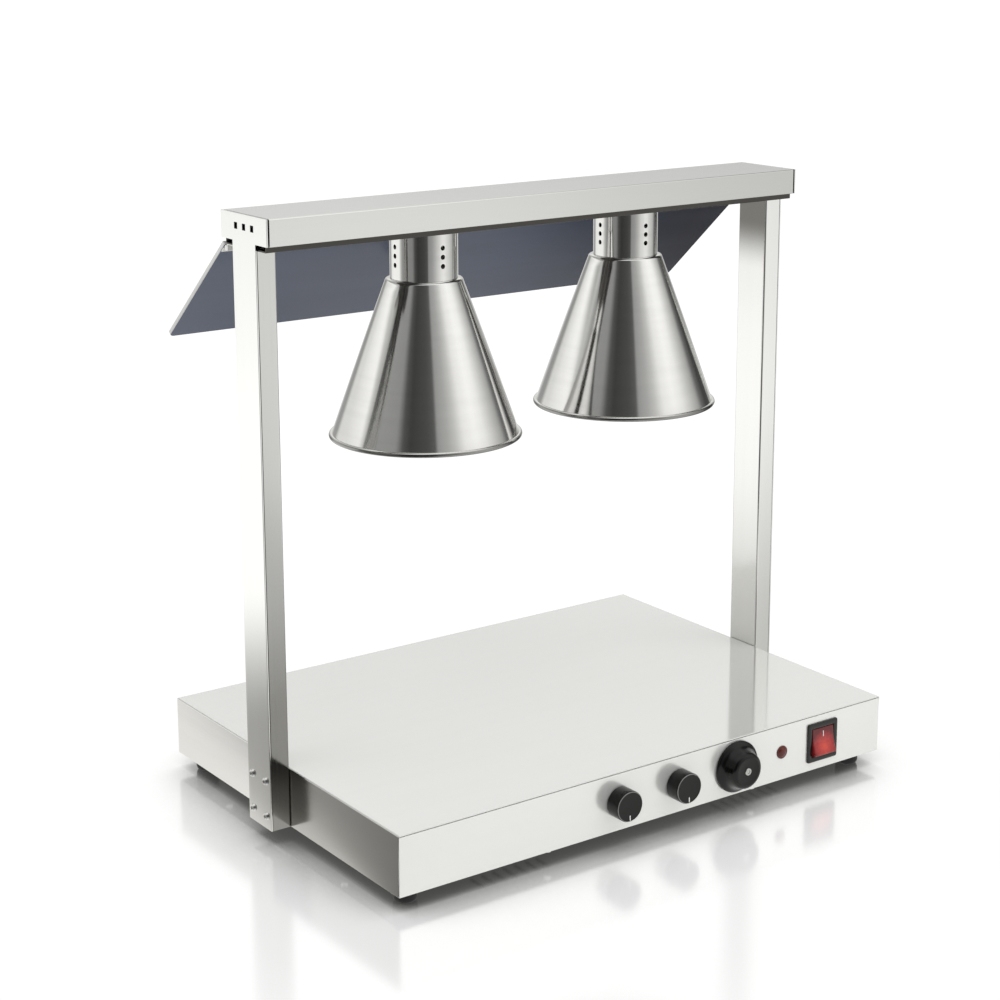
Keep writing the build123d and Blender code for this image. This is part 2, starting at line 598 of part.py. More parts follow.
# ------------------------------------------------------------------------ lamps
def lamp_neck(s):
    x = s * LAMP_X
    z0, z1 = SHADE_TOP_Z, ZLIP
    n = cyl_z(0, 0, NECK_R, z0, z1) - cyl_z(0, 0, NECK_R - 0.9, z0 - 1, z1 + 1)
    n += cyl_z(0, 0, NECK_R - 0.5, z1 - 1.2, z1) - cyl_z(0, 0, 22.5, z1 - 3, z1 + 1)
    for z in NECK_HOLES_Z:
        n -= cyl_y(0, z, NECK_HOLE_D / 2, -40, 40)
        n -= cyl_x(0, z, NECK_HOLE_D / 2, -40, 40)
    for k in range(3):
        a = math.radians(90 + 120 * k)
        n -= cyl_z(26 * math.cos(a), 26 * math.sin(a), 1.7, z1 - 3, z1 + 1)
    return Pos(x, 0, 0) * n


def shade(s):
    t = SHADE_T
    zt = SHADE_TOP_Z
    rb = SHADE_RIM_R - RIM_BEAD_R
    zr = SHADE_RIM_Z + RIM_BEAD_R
    # outer cone runs from the shoulder to the middle of the rolled bead
    a = (SHADE_TOP_R, zt - 3.4)
    b = (rb - 0.4, zr + 0.2)
    dx, dz = b[0] - a[0], b[1] - a[1]
    L = math.hypot(dx, dz)
    nx, nz = dz / L * t, -dx / L * t                   # inward offset of the cone
    pts = [(20.6, zt), (33.0, zt), (34.6, zt - 0.5), (35.5, zt - 1.6), a, b,
           (b[0] + nx, b[1] + nz), (a[0] + nx, a[1] + nz + 0.1), (33.9, zt - 1.9), (32.6, zt - t), (20.6, zt - t)]
    sh = spin_z(pts)
    prof = Plane.XZ * (Pos(rb, zr) * Circle(RIM_BEAD_R))
    sh += revolve(prof, axis=Axis.Z)
    return Pos(s * LAMP_X, 0, 0) * sh


def shade_rings():
    out = []
    zt = SHADE_TOP_Z - SHADE_T
    for s in (-1, 1):
        r = spin_z([(20.0, zt), (27.0, zt), (27.0, zt - 5.0), (25.5, zt - 6.0), (20.0, zt - 6.0)], s * LAMP_X, 0)
        out.append(r)
    return many(out)


SOCK_Z0, SOCK_Z1 = 484.0, 530.0


def lamp_sockets():
    out = []
    for s in (-1, 1):
        pts = [(13.6, SOCK_Z0), (18.6, SOCK_Z0), (20.0, SOCK_Z0 + 1.4), (20.0, SOCK_Z1 - 2), (18.5, SOCK_Z1), (0, SOCK_Z1),
               (0, 512.0), (13.6, 512.0)]
        out.append(spin_z(pts, s * LAMP_X, 0))
    return many(out)


def socket_brackets():
    out = []
    zf = ZLIP - 1.2
    for s in (-1, 1):
        b = cyl_z(0, 0, 29.0, SOCK_Z1, SOCK_Z1 + 1.2)
        b -= cyl_z(0, 0, 5.0, SOCK_Z1 - 1, SOCK_Z1 + 3)
        for k in range(3):
            leg = box(-6, 6, 22.2, 23.4, SOCK_Z1 + 1.2, zf) + box(-6, 6, 22.2, 29.0, zf - 1.2, zf)
            leg -= cyl_z(0, 26, 1.7, zf - 3, zf + 1)
            b += Rot(0, 0, 120 * k) * leg
        out.append(Pos(s * LAMP_X, 0, 0) * b)
    return many(out)


BULB_FACE_Z = 370.0


def bulb(s):
    """Blown reflector envelope, closed at the cap end."""
    f = BULB_FACE_Z
    outer = [(0, f), (26, f + 0.5), (44, f + 2.0), (54, f + 4.6), (59.2, f + 8.6), (61.0, f + 13.5), (60.0, f + 18.5),
             (54.4, f + 27.0), (45.6, f + 40.0), (35.4, f + 58.0), (27.2, f + 76.0), (21.0, f + 92.0), (16.6, f + 104.0),
             (14.6, f + 112.0), (13.0, f + 114.0), (0, f + 114.0)]
    inner = [(0, f + 1.5), (26, f + 2.0), (43.6, f + 3.5), (53.2, f + 6.0), (57.9, f + 9.6), (59.4, f + 13.5), (58.5, f + 17.9),
             (53.1, f + 26.2), (44.3, f + 39.2), (34.0, f + 57.4), (25.8, f + 75.4), (19.6, f + 91.4), (15.1, f + 103.6),
             (12.8, f + 111.0), (0, f + 112.4)]
    return spin_z(outer, s * LAMP_X, 0) - spin_z(inner, s * LAMP_X, 0)


def bulb_caps():
    f = BULB_FACE_Z
    out = []
    for s in (-1, 1):
        pts = [(0, f + 114.0), (12.8, f + 114.0), (13.3, f + 116.5), (12.6, f + 119.0), (13.3, f + 121.5), (12.6, f + 124.0),
               (13.3, f + 126.5), (12.4, f + 129.5), (9.5, f + 131.0), (5.0, f + 133.5), (4.2, f + 135.5), (0, f + 136.0)]
        out.append(spin_z(pts, s * LAMP_X, 0))
    return many(out)


# ------------------------------------------------------------------ rear guard
A = math.radians(GUARD_TILT)
CA, SA = math.cos(A), math.sin(A)
HINGES_X = (-288.0, 0.0, 288.0)
HINGE_Y, HINGE_Z = 37.5, ZLIP - 4.25
KNUCKLE_R = 2.5
GAP_D = 3.0                       # hinge axis to the lower face of the panel
S_TOP = -1.07                     # top edge of the panel along the slope from the axis


def tilt(shape):
    """Built flat, lying along +Y from the hinge axis, then turned down to rest."""
    return Pos(0, HINGE_Y, HINGE_Z) * (Rot(-GUARD_TILT, 0, 0) * shape)


def guard_panel():
    g = box(-GUARD_W / 2, GUARD_W / 2, S_TOP, S_TOP + GUARD_L, GAP_D, GAP_D + GUARD_T)
    low = [e for e in g.edges().filter_by(Axis.Z) if e.center().Y > 50]
    top = [e for e in g.edges().filter_by(Axis.Z) if e.center().Y < 50]
    g = fillet(low, 5.0)
    g = chamfer(g.edges().filter_by(Axis.X), 0.4)
    return tilt(g)


def guard_hinge_fixed():
    out = []
    for hx in HINGES_X:
        x0, x1 = hx - 9, hx + 9
        f = box(x0, x1, 21.0, 35.4, ZLIP - 1.0, ZLIP)
        f += box(x0, x1, 34.3, 35.4, HINGE_Z - 2.0, ZLIP)
        f -= box(hx - 3.3, hx + 3.3, 33.0, 36.0, HINGE_Z - 4.0, HINGE_Z + 3.0)
        for a, b in ((x0, hx - 3.1), (hx + 3.1, x1)):
            f += cyl_x(HINGE_Y, HINGE_Z, KNUCKLE_R, a, b)
        f -= cyl_x(HINGE_Y, HINGE_Z, 1.25, x0 - 1, x1 + 1)
        for d in (-5.0, 5.0):
            f -= cyl_z(hx + d, 27.0, 1.5, ZLIP - 3, ZLIP + 2)
        out.append(f)
    return many(out)


def guard_hinge_moving():
    out = []
    for hx in HINGES_X:
        m = box(hx - 9, hx + 9, 3.4, 9.0, GAP_D - 1.0, GAP_D)
        m += box(hx - 2.9, hx + 2.9, 0.0, 4.0, GAP_D - 1.0, GAP_D)
        m += cyl_x(0, 0, KNUCKLE_R, hx - 2.9, hx + 2.9)
        m -= cyl_x(0, 0, 1.30, hx - 5, hx + 5)
        out.append(tilt(m))
    return many(out)


def guard_hinge_pins():
    return many([cyl_x(HINGE_Y, HINGE_Z, 1.25, hx - 9, hx + 9) for hx in HINGES_X])


def hinge_screws():
    out = []
    for hx in HINGES_X:
        for d in (-5.0, 5.0):
            zb = ZLIP - 1.0
            out.append(cyl_z(hx + d, 27.0, 1.45, zb, ZLIP + 5.0)
                       + spin_z([(0, zb), (2.7, zb), (2.4, zb - 1.2), (1.2, zb - 1.7), (0, zb - 1.7)], hx + d, 27.0))
    return many(out)


# ---------------------------------------------------------------------- wiring
def lamp_wiring():
    """One lead per lamp: up out of the socket, along the beam, down the left post to its dimmer."""
    xp = -(X1 + 10)
    zz = ZLIP + 9.0
    a = wire([(LAMP_X, 0, SOCK_Z1), (LAMP_X, 0, zz + 3), (-LAMP_X + 30, 0, zz + 3), (-LAMP_X + 16, 14, zz + 3),
              (xp + 30, 14, zz + 3), (xp + 10, 1.7, zz + 3), (xp, 1.7, zz + 3), (xp, 1.7, 43), (-258, 1.7, 43), (-258, 1.7, 30),
              (-258, -146, 30), (DIMMER_X[1] - 7, -146, 30), (DIMMER_X[1] - 7, -146, CTRL_Z), (DIMMER_X[1] - 7, Y0 + SHEET + 28, CTRL_Z)], 1.6, 3.0)
    b = wire([(-LAMP_X, 0, SOCK_Z1), (-LAMP_X, 0, zz), (-LAMP_X - 30, 0, zz), (-LAMP_X - 60, -2.0, zz), (xp, -2.0, zz), (xp, -2.0, 43),
              (-262, -2.0, 43), (-262, -2.0, 24), (-262, -152, 24), (DIMMER_X[0] - 7, -152, 24), (DIMMER_X[0] - 7, -152, CTRL_Z),
              (DIMMER_X[0] - 7, Y0 + SHEET + 28, CTRL_Z)], 1.6, 3.0)
    return many([a, b])


def base_wiring():
    sw = Y0 + 36.0                      # ends of the switch blades
    th = Y0 + SHEET + 36.0              # ends of the thermostat blades
    di = Y0 + SHEET + 28.0              # ends of the dimmer blades
    zt = Z0 + 7.0
    runs = [
        [(239, -152, zt), (239, -145, zt), (211.5, -145, zt), (211.5, -145, 35), (211.5, sw, 35)],
        [(249, -152, zt), (249, -140.5, zt), (195.5, -140.5, zt), (195.5, -140.5, 35), (195.5, sw, 35)],
        [(TERM_X + 15, LEGS_Y[0], EL_Z), (258, LEGS_Y[0], EL_Z), (258, LEGS_Y[0], 30), (258, -145, 30), (102, -145, 30),
         (102, -145, 48), (102, th, 48)],
        [(TERM_X + 15, LEGS_Y[3], EL_Z), (259, LEGS_Y[3], EL_Z), (259, LEGS_Y[3], zt), (259, -152, zt)],
        [(31, di, 43), (31, -158, 43), (31, -158, 36), (86, -158, 36), (86, -158, 48), (86, th, 48)],
        [(-38, di, 43), (-38, -164, 43), (-38, -164, 51), (24, -164, 51), (24, -164, 43), (24, di, 43)],
        [(195.5, sw, 51), (195.5, -156, 51), (149.4, -156, 51), (149.4, -156, 43), (149.4, Y0 + 31, 43)],
        [(211.5, sw, 51), (211.5, -150, 51), (154.6, -150, 51), (154.6, -150, 43), (154.6, Y0 + 31, 43)],
    ]
    return many([wire(r, 1.1, 2.0) for r in runs])


def export(name, shape):
    PARTS[name] = shape
    export_step(shape, f"parts/{name}.step")


if __name__ == "__main__":
    export("base_top_cover", base_top_cover())
    export("control_panel", control_panel())
    export("bottom_pan", bottom_pan())
    export("rubber_feet", rubber_feet())
    export("underside_screws", underside_screws())
    export("heat_spreader", heat_spreader())
    export("heating_element", heating_element())
    export("element_terminals", element_terminals())
    export("element_straps", element_straps())
    export("insulation_blanket", insulation_blanket())
    export("insulation_tray", insulation_tray())
    export("thermostat_body", thermostat_body())
    export("thermostat_screws", thermostat_screws())
    export("thermostat_shaft", thermostat_shaft())
    export("thermostat_knob", thermostat_knob())
    export("thermostat_knob_insert", thermostat_knob_insert())
    export("thermostat_capillary", thermostat_capillary())
    for side, x in (("left", DIMMER_X[0]), ("right", DIMMER_X[1])):
        export(f"{side}_dimmer_body", dimmer_body(x))
        export(f"{side}_dimmer_shaft", dimmer_shaft(x))
        export(f"{side}_dimmer_knob", dimmer_knob(x))
        export(f"{side}_dimmer_pointer", dimmer_pointer(x))
    export("panel_nuts", panel_nuts())
    export("indicator_lens", indicator_lens())
    export("indicator_body", indicator_body())
    export("switch_housing", switch_housing())
    export("switch_rocker", switch_rocker())
    export("switch_terminals", switch_terminals())
    export("terminal_block", terminal_block())
    export("earth_stud", earth_stud())
    export("cable_gland", cable_gland())
    export("gland_locknut", gland_locknut())
    export("post_left", post(-1))
    export("post_right", post(1))
    export("post_screws", post_screws())
    export("post_nuts", post_nuts())
    export("wire_grommets", wire_grommets())
    export("beam_cover", beam_cover())
    export("beam_pan", beam_pan())
    export("beam_screws", beam_screws())
    for side, s in (("left", -1), ("right", 1)):
        export(f"lamp_neck_{side}", lamp_neck(s))
        export(f"shade_{side}", shade(s))
        export(f"bulb_{side}", bulb(s))
    export("shade_rings", shade_rings())
    export("lamp_sockets", lamp_sockets())
    export("socket_brackets", socket_brackets())
    export("bulb_caps", bulb_caps())
    export("guard_panel", guard_panel())
    export("guard_hinge_fixed", guard_hinge_fixed())
    export("guard_hinge_moving", guard_hinge_moving())
    export("guard_hinge_pins", guard_hinge_pins())
    export("hinge_screws", hinge_screws())
    export("lamp_wiring", lamp_wiring())
    export("base_wiring", base_wiring())
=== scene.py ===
import bpy, bmesh, math, json
from mathutils import Vector, Matrix


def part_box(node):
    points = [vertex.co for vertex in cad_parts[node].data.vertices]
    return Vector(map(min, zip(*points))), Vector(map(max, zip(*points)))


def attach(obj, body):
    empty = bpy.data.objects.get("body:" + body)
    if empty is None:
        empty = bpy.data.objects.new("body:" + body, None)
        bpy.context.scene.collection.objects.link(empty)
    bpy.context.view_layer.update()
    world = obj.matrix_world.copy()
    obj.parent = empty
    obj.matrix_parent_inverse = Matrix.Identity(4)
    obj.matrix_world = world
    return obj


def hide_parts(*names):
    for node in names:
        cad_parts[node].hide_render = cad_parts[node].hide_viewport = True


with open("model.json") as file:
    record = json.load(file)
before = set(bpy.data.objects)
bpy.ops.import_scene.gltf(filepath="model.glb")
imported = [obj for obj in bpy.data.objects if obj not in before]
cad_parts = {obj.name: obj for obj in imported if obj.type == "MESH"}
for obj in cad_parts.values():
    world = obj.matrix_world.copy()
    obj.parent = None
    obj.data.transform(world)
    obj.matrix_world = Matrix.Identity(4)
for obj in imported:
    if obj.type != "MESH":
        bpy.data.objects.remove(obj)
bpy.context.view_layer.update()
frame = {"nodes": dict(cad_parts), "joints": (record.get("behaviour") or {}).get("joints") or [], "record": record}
SC = bpy.context.scene
MM = 0.001


# =====================================================================  materials
def new_mat(name):
    m = bpy.data.materials.new(name)
    m.use_nodes = True
    nt = m.node_tree
    for n in list(nt.nodes):
        nt.nodes.remove(n)
    out = nt.nodes.new("ShaderNodeOutputMaterial")
    b = nt.nodes.new("ShaderNodeBsdfPrincipled")
    nt.links.new(b.outputs["BSDF"], out.inputs["Surface"])
    return m, nt, b


def N(nt, kind, **kw):
    n = nt.nodes.new(kind)
    for k, v in kw.items():
        setattr(n, k, v)
    return n


def coords(nt, scale):
    tc = N(nt, "ShaderNodeTexCoord")
    mp = N(nt, "ShaderNodeMapping")
    mp.inputs["Scale"].default_value = scale
    nt.links.new(tc.outputs["Object"], mp.inputs["Vector"])
    return mp.outputs["Vector"]


def noise(nt, vec, scale=1.0, detail=3.0, rough=0.5):
    n = N(nt, "ShaderNodeTexNoise")
    n.inputs["Scale"].default_value = scale
    n.inputs["Detail"].default_value = detail
    n.inputs["Roughness"].default_value = rough
    nt.links.new(vec, n.inputs["Vector"])
    return n.outputs["Fac"]


def remap(nt, fac, lo, hi, a=0.3, b=0.7):
    r = N(nt, "ShaderNodeMapRange")
    r.inputs["From Min"].default_value = a
    r.inputs["From Max"].default_value = b
    r.inputs["To Min"].default_value = lo
    r.inputs["To Max"].default_value = hi
    nt.links.new(fac, r.inputs["Value"])
    return r.outputs["Result"]


def ramp(nt, fac, stops, mode="LINEAR"):
    r = N(nt, "ShaderNodeValToRGB")
    r.color_ramp.interpolation = mode
    el = r.color_ramp.elements
    while len(el) < len(stops):
        el.new(0.5)
    for e, (p, c) in zip(el, stops):
        e.position = p
        e.color = (*c, 1.0) if len(c) == 3 else c
    nt.links.new(fac, r.inputs["Fac"])
    return r.outputs["Color"]


def bump(nt, fac, bsdf, strength, dist):
    bp = N(nt, "ShaderNodeBump")
    bp.inputs["Strength"].default_value = strength
    bp.inputs["Distance"].default_value = dist
    nt.links.new(fac, bp.inputs["Height"])
    nt.links.new(bp.outputs["Normal"], bsdf.inputs["Normal"])
    return bp


def mul(c, k):
    return tuple(min(1.0, v * k) for v in c)


def steel(name, base, rough, grain="X", fine=0.05, spread=0.05, tint=0.05, bump_s=0.03, density=900.0, painted_light_and_shade=None):
    """Polished and lightly brushed sheet: fine lines along one axis over faint cloudy staining, with optional painted
    shade and reflection as tone gradients along an axis.
    """
    m, nt, b = new_mat(name)
    b.inputs["Metallic"].default_value = 1.0
    low, high = 3.0, density
    sc = {"X": (low, high, high), "Y": (high, low, high), "Z": (high, high, low)}[grain]
    lines = noise(nt, coords(nt, sc), 1.0, 2.0, 0.6)
    broad = noise(nt, coords(nt, tuple(v / 12 for v in sc)), 1.0, 2.0, 0.5)
    cloud = noise(nt, coords(nt, (6, 6, 6)), 1.0, 3.0, 0.55)
    ra = remap(nt, lines, rough - fine, rough + fine)
    rb = remap(nt, cloud, -spread, spread)
    add = N(nt, "ShaderNodeMath", operation="ADD", use_clamp=True)
    nt.links.new(ra, add.inputs[0]); nt.links.new(rb, add.inputs[1])
    nt.links.new(add.outputs[0], b.inputs["Roughness"])
    mix = N(nt, "ShaderNodeMix", data_type="FLOAT")
    mix.inputs["Factor"].default_value = 0.45
    nt.links.new(cloud, mix.inputs[2]); nt.links.new(broad, mix.inputs[3])
    col = ramp(nt, mix.outputs[0], [(0.30, mul(base, 1 - tint)), (0.5, base), (0.72, mul(base, 1 + tint * 0.7))])
    # painted light and shade: slow changes of tone along an axis of the sheet that stand in for shade and reflections:
    # (axis, start, end, tone at start, tone at end)
    for ax, p0, p1, t0, t1 in (painted_light_and_shade if isinstance(painted_light_and_shade, list) else [painted_light_and_shade] if painted_light_and_shade else []):
        tc = N(nt, "ShaderNodeTexCoord")
        sep = N(nt, "ShaderNodeSeparateXYZ")
        nt.links.new(tc.outputs["Object"], sep.inputs[0])
        g = N(nt, "ShaderNodeMapRange", interpolation_type="SMOOTHSTEP")
        g.inputs["From Min"].default_value = p0; g.inputs["From Max"].default_value = p1
        g.inputs["To Min"].default_value = 0.0; g.inputs["To Max"].default_value = 1.0
        nt.links.new(sep.outputs[ax], g.inputs["Value"])
        tone = ramp(nt, g.outputs["Result"], [(0.0, t0), (1.0, t1)])
        mm = N(nt, "ShaderNodeMix", data_type="RGBA", blend_type="MULTIPLY")
        mm.inputs["Factor"].default_value = 1.0
        nt.links.new(col, mm.inputs[6]); nt.links.new(tone, mm.inputs[7])
        col = mm.outputs[2]
    nt.links.new(col, b.inputs["Base Color"])
    bump(nt, lines, b, bump_s, 0.0001)
    return m


def spun(name, base, rough, cx, cy, bump_s=0.05):
    """Spun sheet: fine tool lines round the vertical axis through cx, cy."""
    m, nt, b = new_mat(name)
    b.inputs["Metallic"].default_value = 1.0
    tc = N(nt, "ShaderNodeTexCoord")
    mp = N(nt, "ShaderNodeMapping")
    mp.inputs["Location"].default_value = (-cx, -cy, 0)
    nt.links.new(tc.outputs["Object"], mp.inputs["Vector"])
    sep = N(nt, "ShaderNodeSeparateXYZ")
    nt.links.new(mp.outputs["Vector"], sep.inputs[0])
    ang = N(nt, "ShaderNodeMath", operation="ARCTAN2")
    nt.links.new(sep.outputs["Y"], ang.inputs[0]); nt.links.new(sep.outputs["X"], ang.inputs[1])
    co = N(nt, "ShaderNodeMath", operation="COSINE")
    nt.links.new(ang.outputs[0], co.inputs[0])
    comb = N(nt, "ShaderNodeCombineXYZ")
    nt.links.new(co.outputs[0], comb.inputs[0]); nt.links.new(sep.outputs["Z"], comb.inputs[2])
    sc = N(nt, "ShaderNodeMapping")
    sc.inputs["Scale"].default_value = (0.35, 1, 1400)
    nt.links.new(comb.outputs[0], sc.inputs["Vector"])
    lines = noise(nt, sc.outputs["Vector"], 1.0, 2.0, 0.6)
    sc2 = N(nt, "ShaderNodeMapping")
    sc2.inputs["Scale"].default_value = (1.2, 1, 130)
    nt.links.new(comb.outputs[0], sc2.inputs["Vector"])
    wide = noise(nt, sc2.outputs["Vector"], 1.0, 2.0, 0.5)
    cloud = noise(nt, coords(nt, (14, 14, 5)), 1.0, 3.0, 0.5)
    ra = remap(nt, lines, rough - 0.006, rough + 0.008)
    rb = remap(nt, cloud, -0.01, 0.015)
    add = N(nt, "ShaderNodeMath", operation="ADD", use_clamp=True)
    nt.links.new(ra, add.inputs[0]); nt.links.new(rb, add.inputs[1])
    nt.links.new(add.outputs[0], b.inputs["Roughness"])
    col = ramp(nt, wide, [(0.32, mul(base, 0.975)), (0.5, base), (0.7, mul(base, 1.02))])
    nt.links.new(col, b.inputs["Base Color"])
    bump(nt, lines, b, bump_s, 0.0001)
    return m


def plastic(name, base, rough, grain=1400.0, bump_s=0.06, spec=0.5, var=0.25, emit=None, emit_s=0.0, sss=0.0, coat=0.0):
    m, nt, b = new_mat(name)
    fine = noise(nt, coords(nt, (grain,) * 3), 1.0, 3.0, 0.55)
    cloud = noise(nt, coords(nt, (45,) * 3), 1.0, 3.0, 0.5)
    nt.links.new(remap(nt, cloud, rough - 0.05, rough + 0.07), b.inputs["Roughness"])
    col = ramp(nt, cloud, [(0.3, mul(base, 1 - var)), (0.5, base), (0.7, mul(base, 1 + var))])
    nt.links.new(col, b.inputs["Base Color"])
    b.inputs["Specular IOR Level"].default_value = spec
    if coat:
        b.inputs["Coat Weight"].default_value = coat
        b.inputs["Coat Roughness"].default_value = 0.08
    if emit:
        b.inputs["Emission Color"].default_value = (*emit, 1)
        b.inputs["Emission Strength"].default_value = emit_s
    if sss:
        b.inputs["Subsurface Weight"].default_value = sss
        b.inputs["Subsurface Radius"].default_value = (0.004, 0.001, 0.001)
    bump(nt, fine, b, bump_s, 0.00006)
    return m


def smoked(name, base, rough=0.06, painted_light_and_shade=None):
    """Dark blue-grey toughened panel with faint streaks and wiped dust, and optional painted shade as a tone gradient
    along an axis.
    """
    m, nt, b = new_mat(name)
    streak = noise(nt, coords(nt, (2.5, 30, 30)), 1.0, 3.0, 0.5)
    cloud = noise(nt, coords(nt, (7, 7, 7)), 1.0, 4.0, 0.6)
    nt.links.new(remap(nt, cloud, rough, rough + 0.09), b.inputs["Roughness"])
    col = ramp(nt, streak, [(0.3, mul(base, 0.92)), (0.55, base), (0.75, mul(base, 1.10))])
    if painted_light_and_shade:
        ax, p0, p1, t0, t1 = painted_light_and_shade
        tc = N(nt, "ShaderNodeTexCoord")
        sep = N(nt, "ShaderNodeSeparateXYZ")
        nt.links.new(tc.outputs["Object"], sep.inputs[0])
        g = N(nt, "ShaderNodeMapRange", interpolation_type="SMOOTHSTEP")
        g.inputs["From Min"].default_value = p0; g.inputs["From Max"].default_value = p1
        nt.links.new(sep.outputs[ax], g.inputs["Value"])
        mm = N(nt, "ShaderNodeMix", data_type="RGBA", blend_type="MULTIPLY")
        mm.inputs["Factor"].default_value = 1.0
        nt.links.new(col, mm.inputs[6]); nt.links.new(ramp(nt, g.outputs["Result"], [(0.0, t0), (1.0, t1)]), mm.inputs[7])
        col = mm.outputs[2]
    nt.links.new(col, b.inputs["Base Color"])
    b.inputs["Specular IOR Level"].default_value = 0.35
    bump(nt, streak, b, 0.01, 0.0002)
    return m


def glassy(name, base, rough=0.12, transmission=0.0):
    m, nt, b = new_mat(name)
    cloud = noise(nt, coords(nt, (30,) * 3), 1.0, 3.0, 0.5)
    nt.links.new(remap(nt, cloud, rough - 0.04, rough + 0.06), b.inputs["Roughness"])
    col = ramp(nt, cloud, [(0.3, mul(base, 0.95)), (0.7, mul(base, 1.04))])
    nt.links.new(col, b.inputs["Base Color"])
    b.inputs["Transmission Weight"].default_value = transmission
    b.inputs["Coat Weight"].default_value = 0.5
    return m


def weave(name, base):
    m, nt, b = new_mat(name)
    w = N(nt, "ShaderNodeTexWave", wave_type="BANDS", bands_direction="DIAGONAL")
    w.inputs["Scale"].default_value = 900
    w.inputs["Distortion"].default_value = 1.5
    nt.links.new(coords(nt, (1, 1, 1)), w.inputs["Vector"])
    cloud = noise(nt, coords(nt, (60,) * 3), 1.0, 3.0, 0.6)
    col = ramp(nt, cloud, [(0.3, mul(base, 0.85)), (0.7, mul(base, 1.05))])
    nt.links.new(col, b.inputs["Base Color"])
    b.inputs["Roughness"].default_value = 0.85
    bump(nt, w.outputs["Fac"], b, 0.3, 0.0003)
    return m


ST = (0.80, 0.80, 0.785)
M = {}
M["top_plate"] = steel("top_plate_steel", (0.775, 0.775, 0.76), 0.085, "X", fine=0.015, spread=0.015, tint=0.012, bump_s=0.008)
M["top_plate"].node_tree.nodes["Principled BSDF"].inputs["Metallic"].default_value = 0.55
# side walls: painted shade, darker toward the front and slightly lighter toward the back
M["side_wall"] = steel("side_wall_painted_shade_steel", (0.74, 0.73, 0.705), 0.20, "Y", fine=0.04, spread=0.03, tint=0.03, bump_s=0.03, painted_light_and_shade=("Y", -0.022, 0.018, (0.68, 0.674, 0.655), (1.06, 1.06, 1.06)))
M["front_panel"] = steel("front_panel_steel", (0.87, 0.87, 0.85), 0.21, "X", fine=0.012, spread=0.01, tint=0.010, bump_s=0.003)
M["front_panel"].node_tree.nodes["Principled BSDF"].inputs["Metallic"].default_value = 0.52
# post skin: painted shade, darker toward the foot
M["post"] = steel("post_painted_shade_steel", (0.90, 0.90, 0.885), 0.14, "Z", fine=0.03, spread=0.02, tint=0.02, bump_s=0.02, painted_light_and_shade=("Z", 0.03, 0.24, (0.80, 0.79, 0.76), (1, 1, 1)))
# post channels: painted shade darkening toward the foot, strongly on the left; the right inner face also has a painted
# reflection of the beam, dark over its top
M["channel_-1"] = steel("channel_steel_left", (0.705, 0.705, 0.69), 0.15, "Z", fine=0.04, spread=0.02, tint=0.02, bump_s=0.02, painted_light_and_shade=("Z", 0.12, 0.36, (0.42, 0.415, 0.40), (1, 1, 1)))
M["channel_1"] = steel("channel_steel_right", (0.90, 0.90, 0.885), 0.15, "Z", fine=0.04, spread=0.02, tint=0.02, bump_s=0.02, painted_light_and_shade=("Z", 0.05, 0.34, (0.78, 0.775, 0.76), (1, 1, 1)))
M["channel_in_-1"] = M["channel_-1"]
M["channel_in_1"] = steel("channel_steel_right_inner", (0.86, 0.86, 0.845), 0.15, "Z", fine=0.04, spread=0.02, tint=0.02, bump_s=0.02, painted_light_and_shade=[("Z", 0.05, 0.34, (0.92, 0.915, 0.90), (1, 1, 1)), ("Z", 0.466, 0.518, (1, 1, 1), (0.22, 0.215, 0.20))])
# beam cover: painted shade darkening toward the right; the top face is a darker, less metallic copy with the same
# painted shade
M["beam"] = steel("beam_painted_shade_steel", (0.80, 0.80, 0.78), 0.15, "X", fine=0.04, spread=0.02, tint=0.015, bump_s=0.02, painted_light_and_shade=("X", -0.25, 0.32, (1, 1, 1), (0.80, 0.80, 0.80)))
M["beam_top"] = steel("beam_top_painted_shade_steel", (0.70, 0.70, 0.685), 0.15, "X", fine=0.04, spread=0.02, tint=0.015, bump_s=0.02, painted_light_and_shade=("X", -0.25, 0.32, (1, 1, 1), (0.78, 0.78, 0.78)))
M["beam_top"].node_tree.nodes["Principled BSDF"].inputs["Metallic"].default_value = 0.62
# beam pan: stainless painted near-black, a painted shade under the beam
M["dark_pan"] = steel("beam_pan_painted_shade_steel", (0.085, 0.080, 0.075), 0.26, "X", fine=0.05, spread=0.04, tint=0.08, bump_s=0.04)
M["inner_sheet"] = steel("inner_sheet_steel", (0.60, 0.60, 0.59), 0.34, "X", fine=0.06, spread=0.05, tint=0.08, bump_s=0.06)
# bottom pan: stainless painted near-black, a painted shade on the underside
M["pan_sheet"] = steel("underside_painted_shade_sheet", (0.11, 0.11, 0.108), 0.45, "X", fine=0.05, spread=0.05, tint=0.08, bump_s=0.05)
M["screw_steel"] = steel("plated_screw_steel", (0.74, 0.735, 0.72), 0.22, "X", fine=0.04, spread=0.04, tint=0.08, bump_s=0.04, density=500)
M["spreader_alu"] = steel("mill_aluminium", (0.80, 0.81, 0.82), 0.36, "Y", fine=0.06, spread=0.05, tint=0.06, bump_s=0.05)
M["blanket_fibre"] = weave("ceramic_fibre", (0.82, 0.81, 0.77))
M["white_ceramic"] = plastic("white_ceramic", (0.80, 0.79, 0.75), 0.38, grain=700, var=0.05)
M["black_plastic"] = plastic("black_plastic", (0.006, 0.0055, 0.005), 0.26, grain=1600, var=0.3)
M["knob_black"] = plastic("knob_black", (0.0028, 0.0028, 0.0026), 0.20, grain=2200, bump_s=0.04, var=0.3, spec=0.34)
M["knob_face"] = plastic("knob_face_matt", (0.0085, 0.009, 0.008), 0.45, grain=2600, bump_s=0.12, var=0.3, spec=0.3)
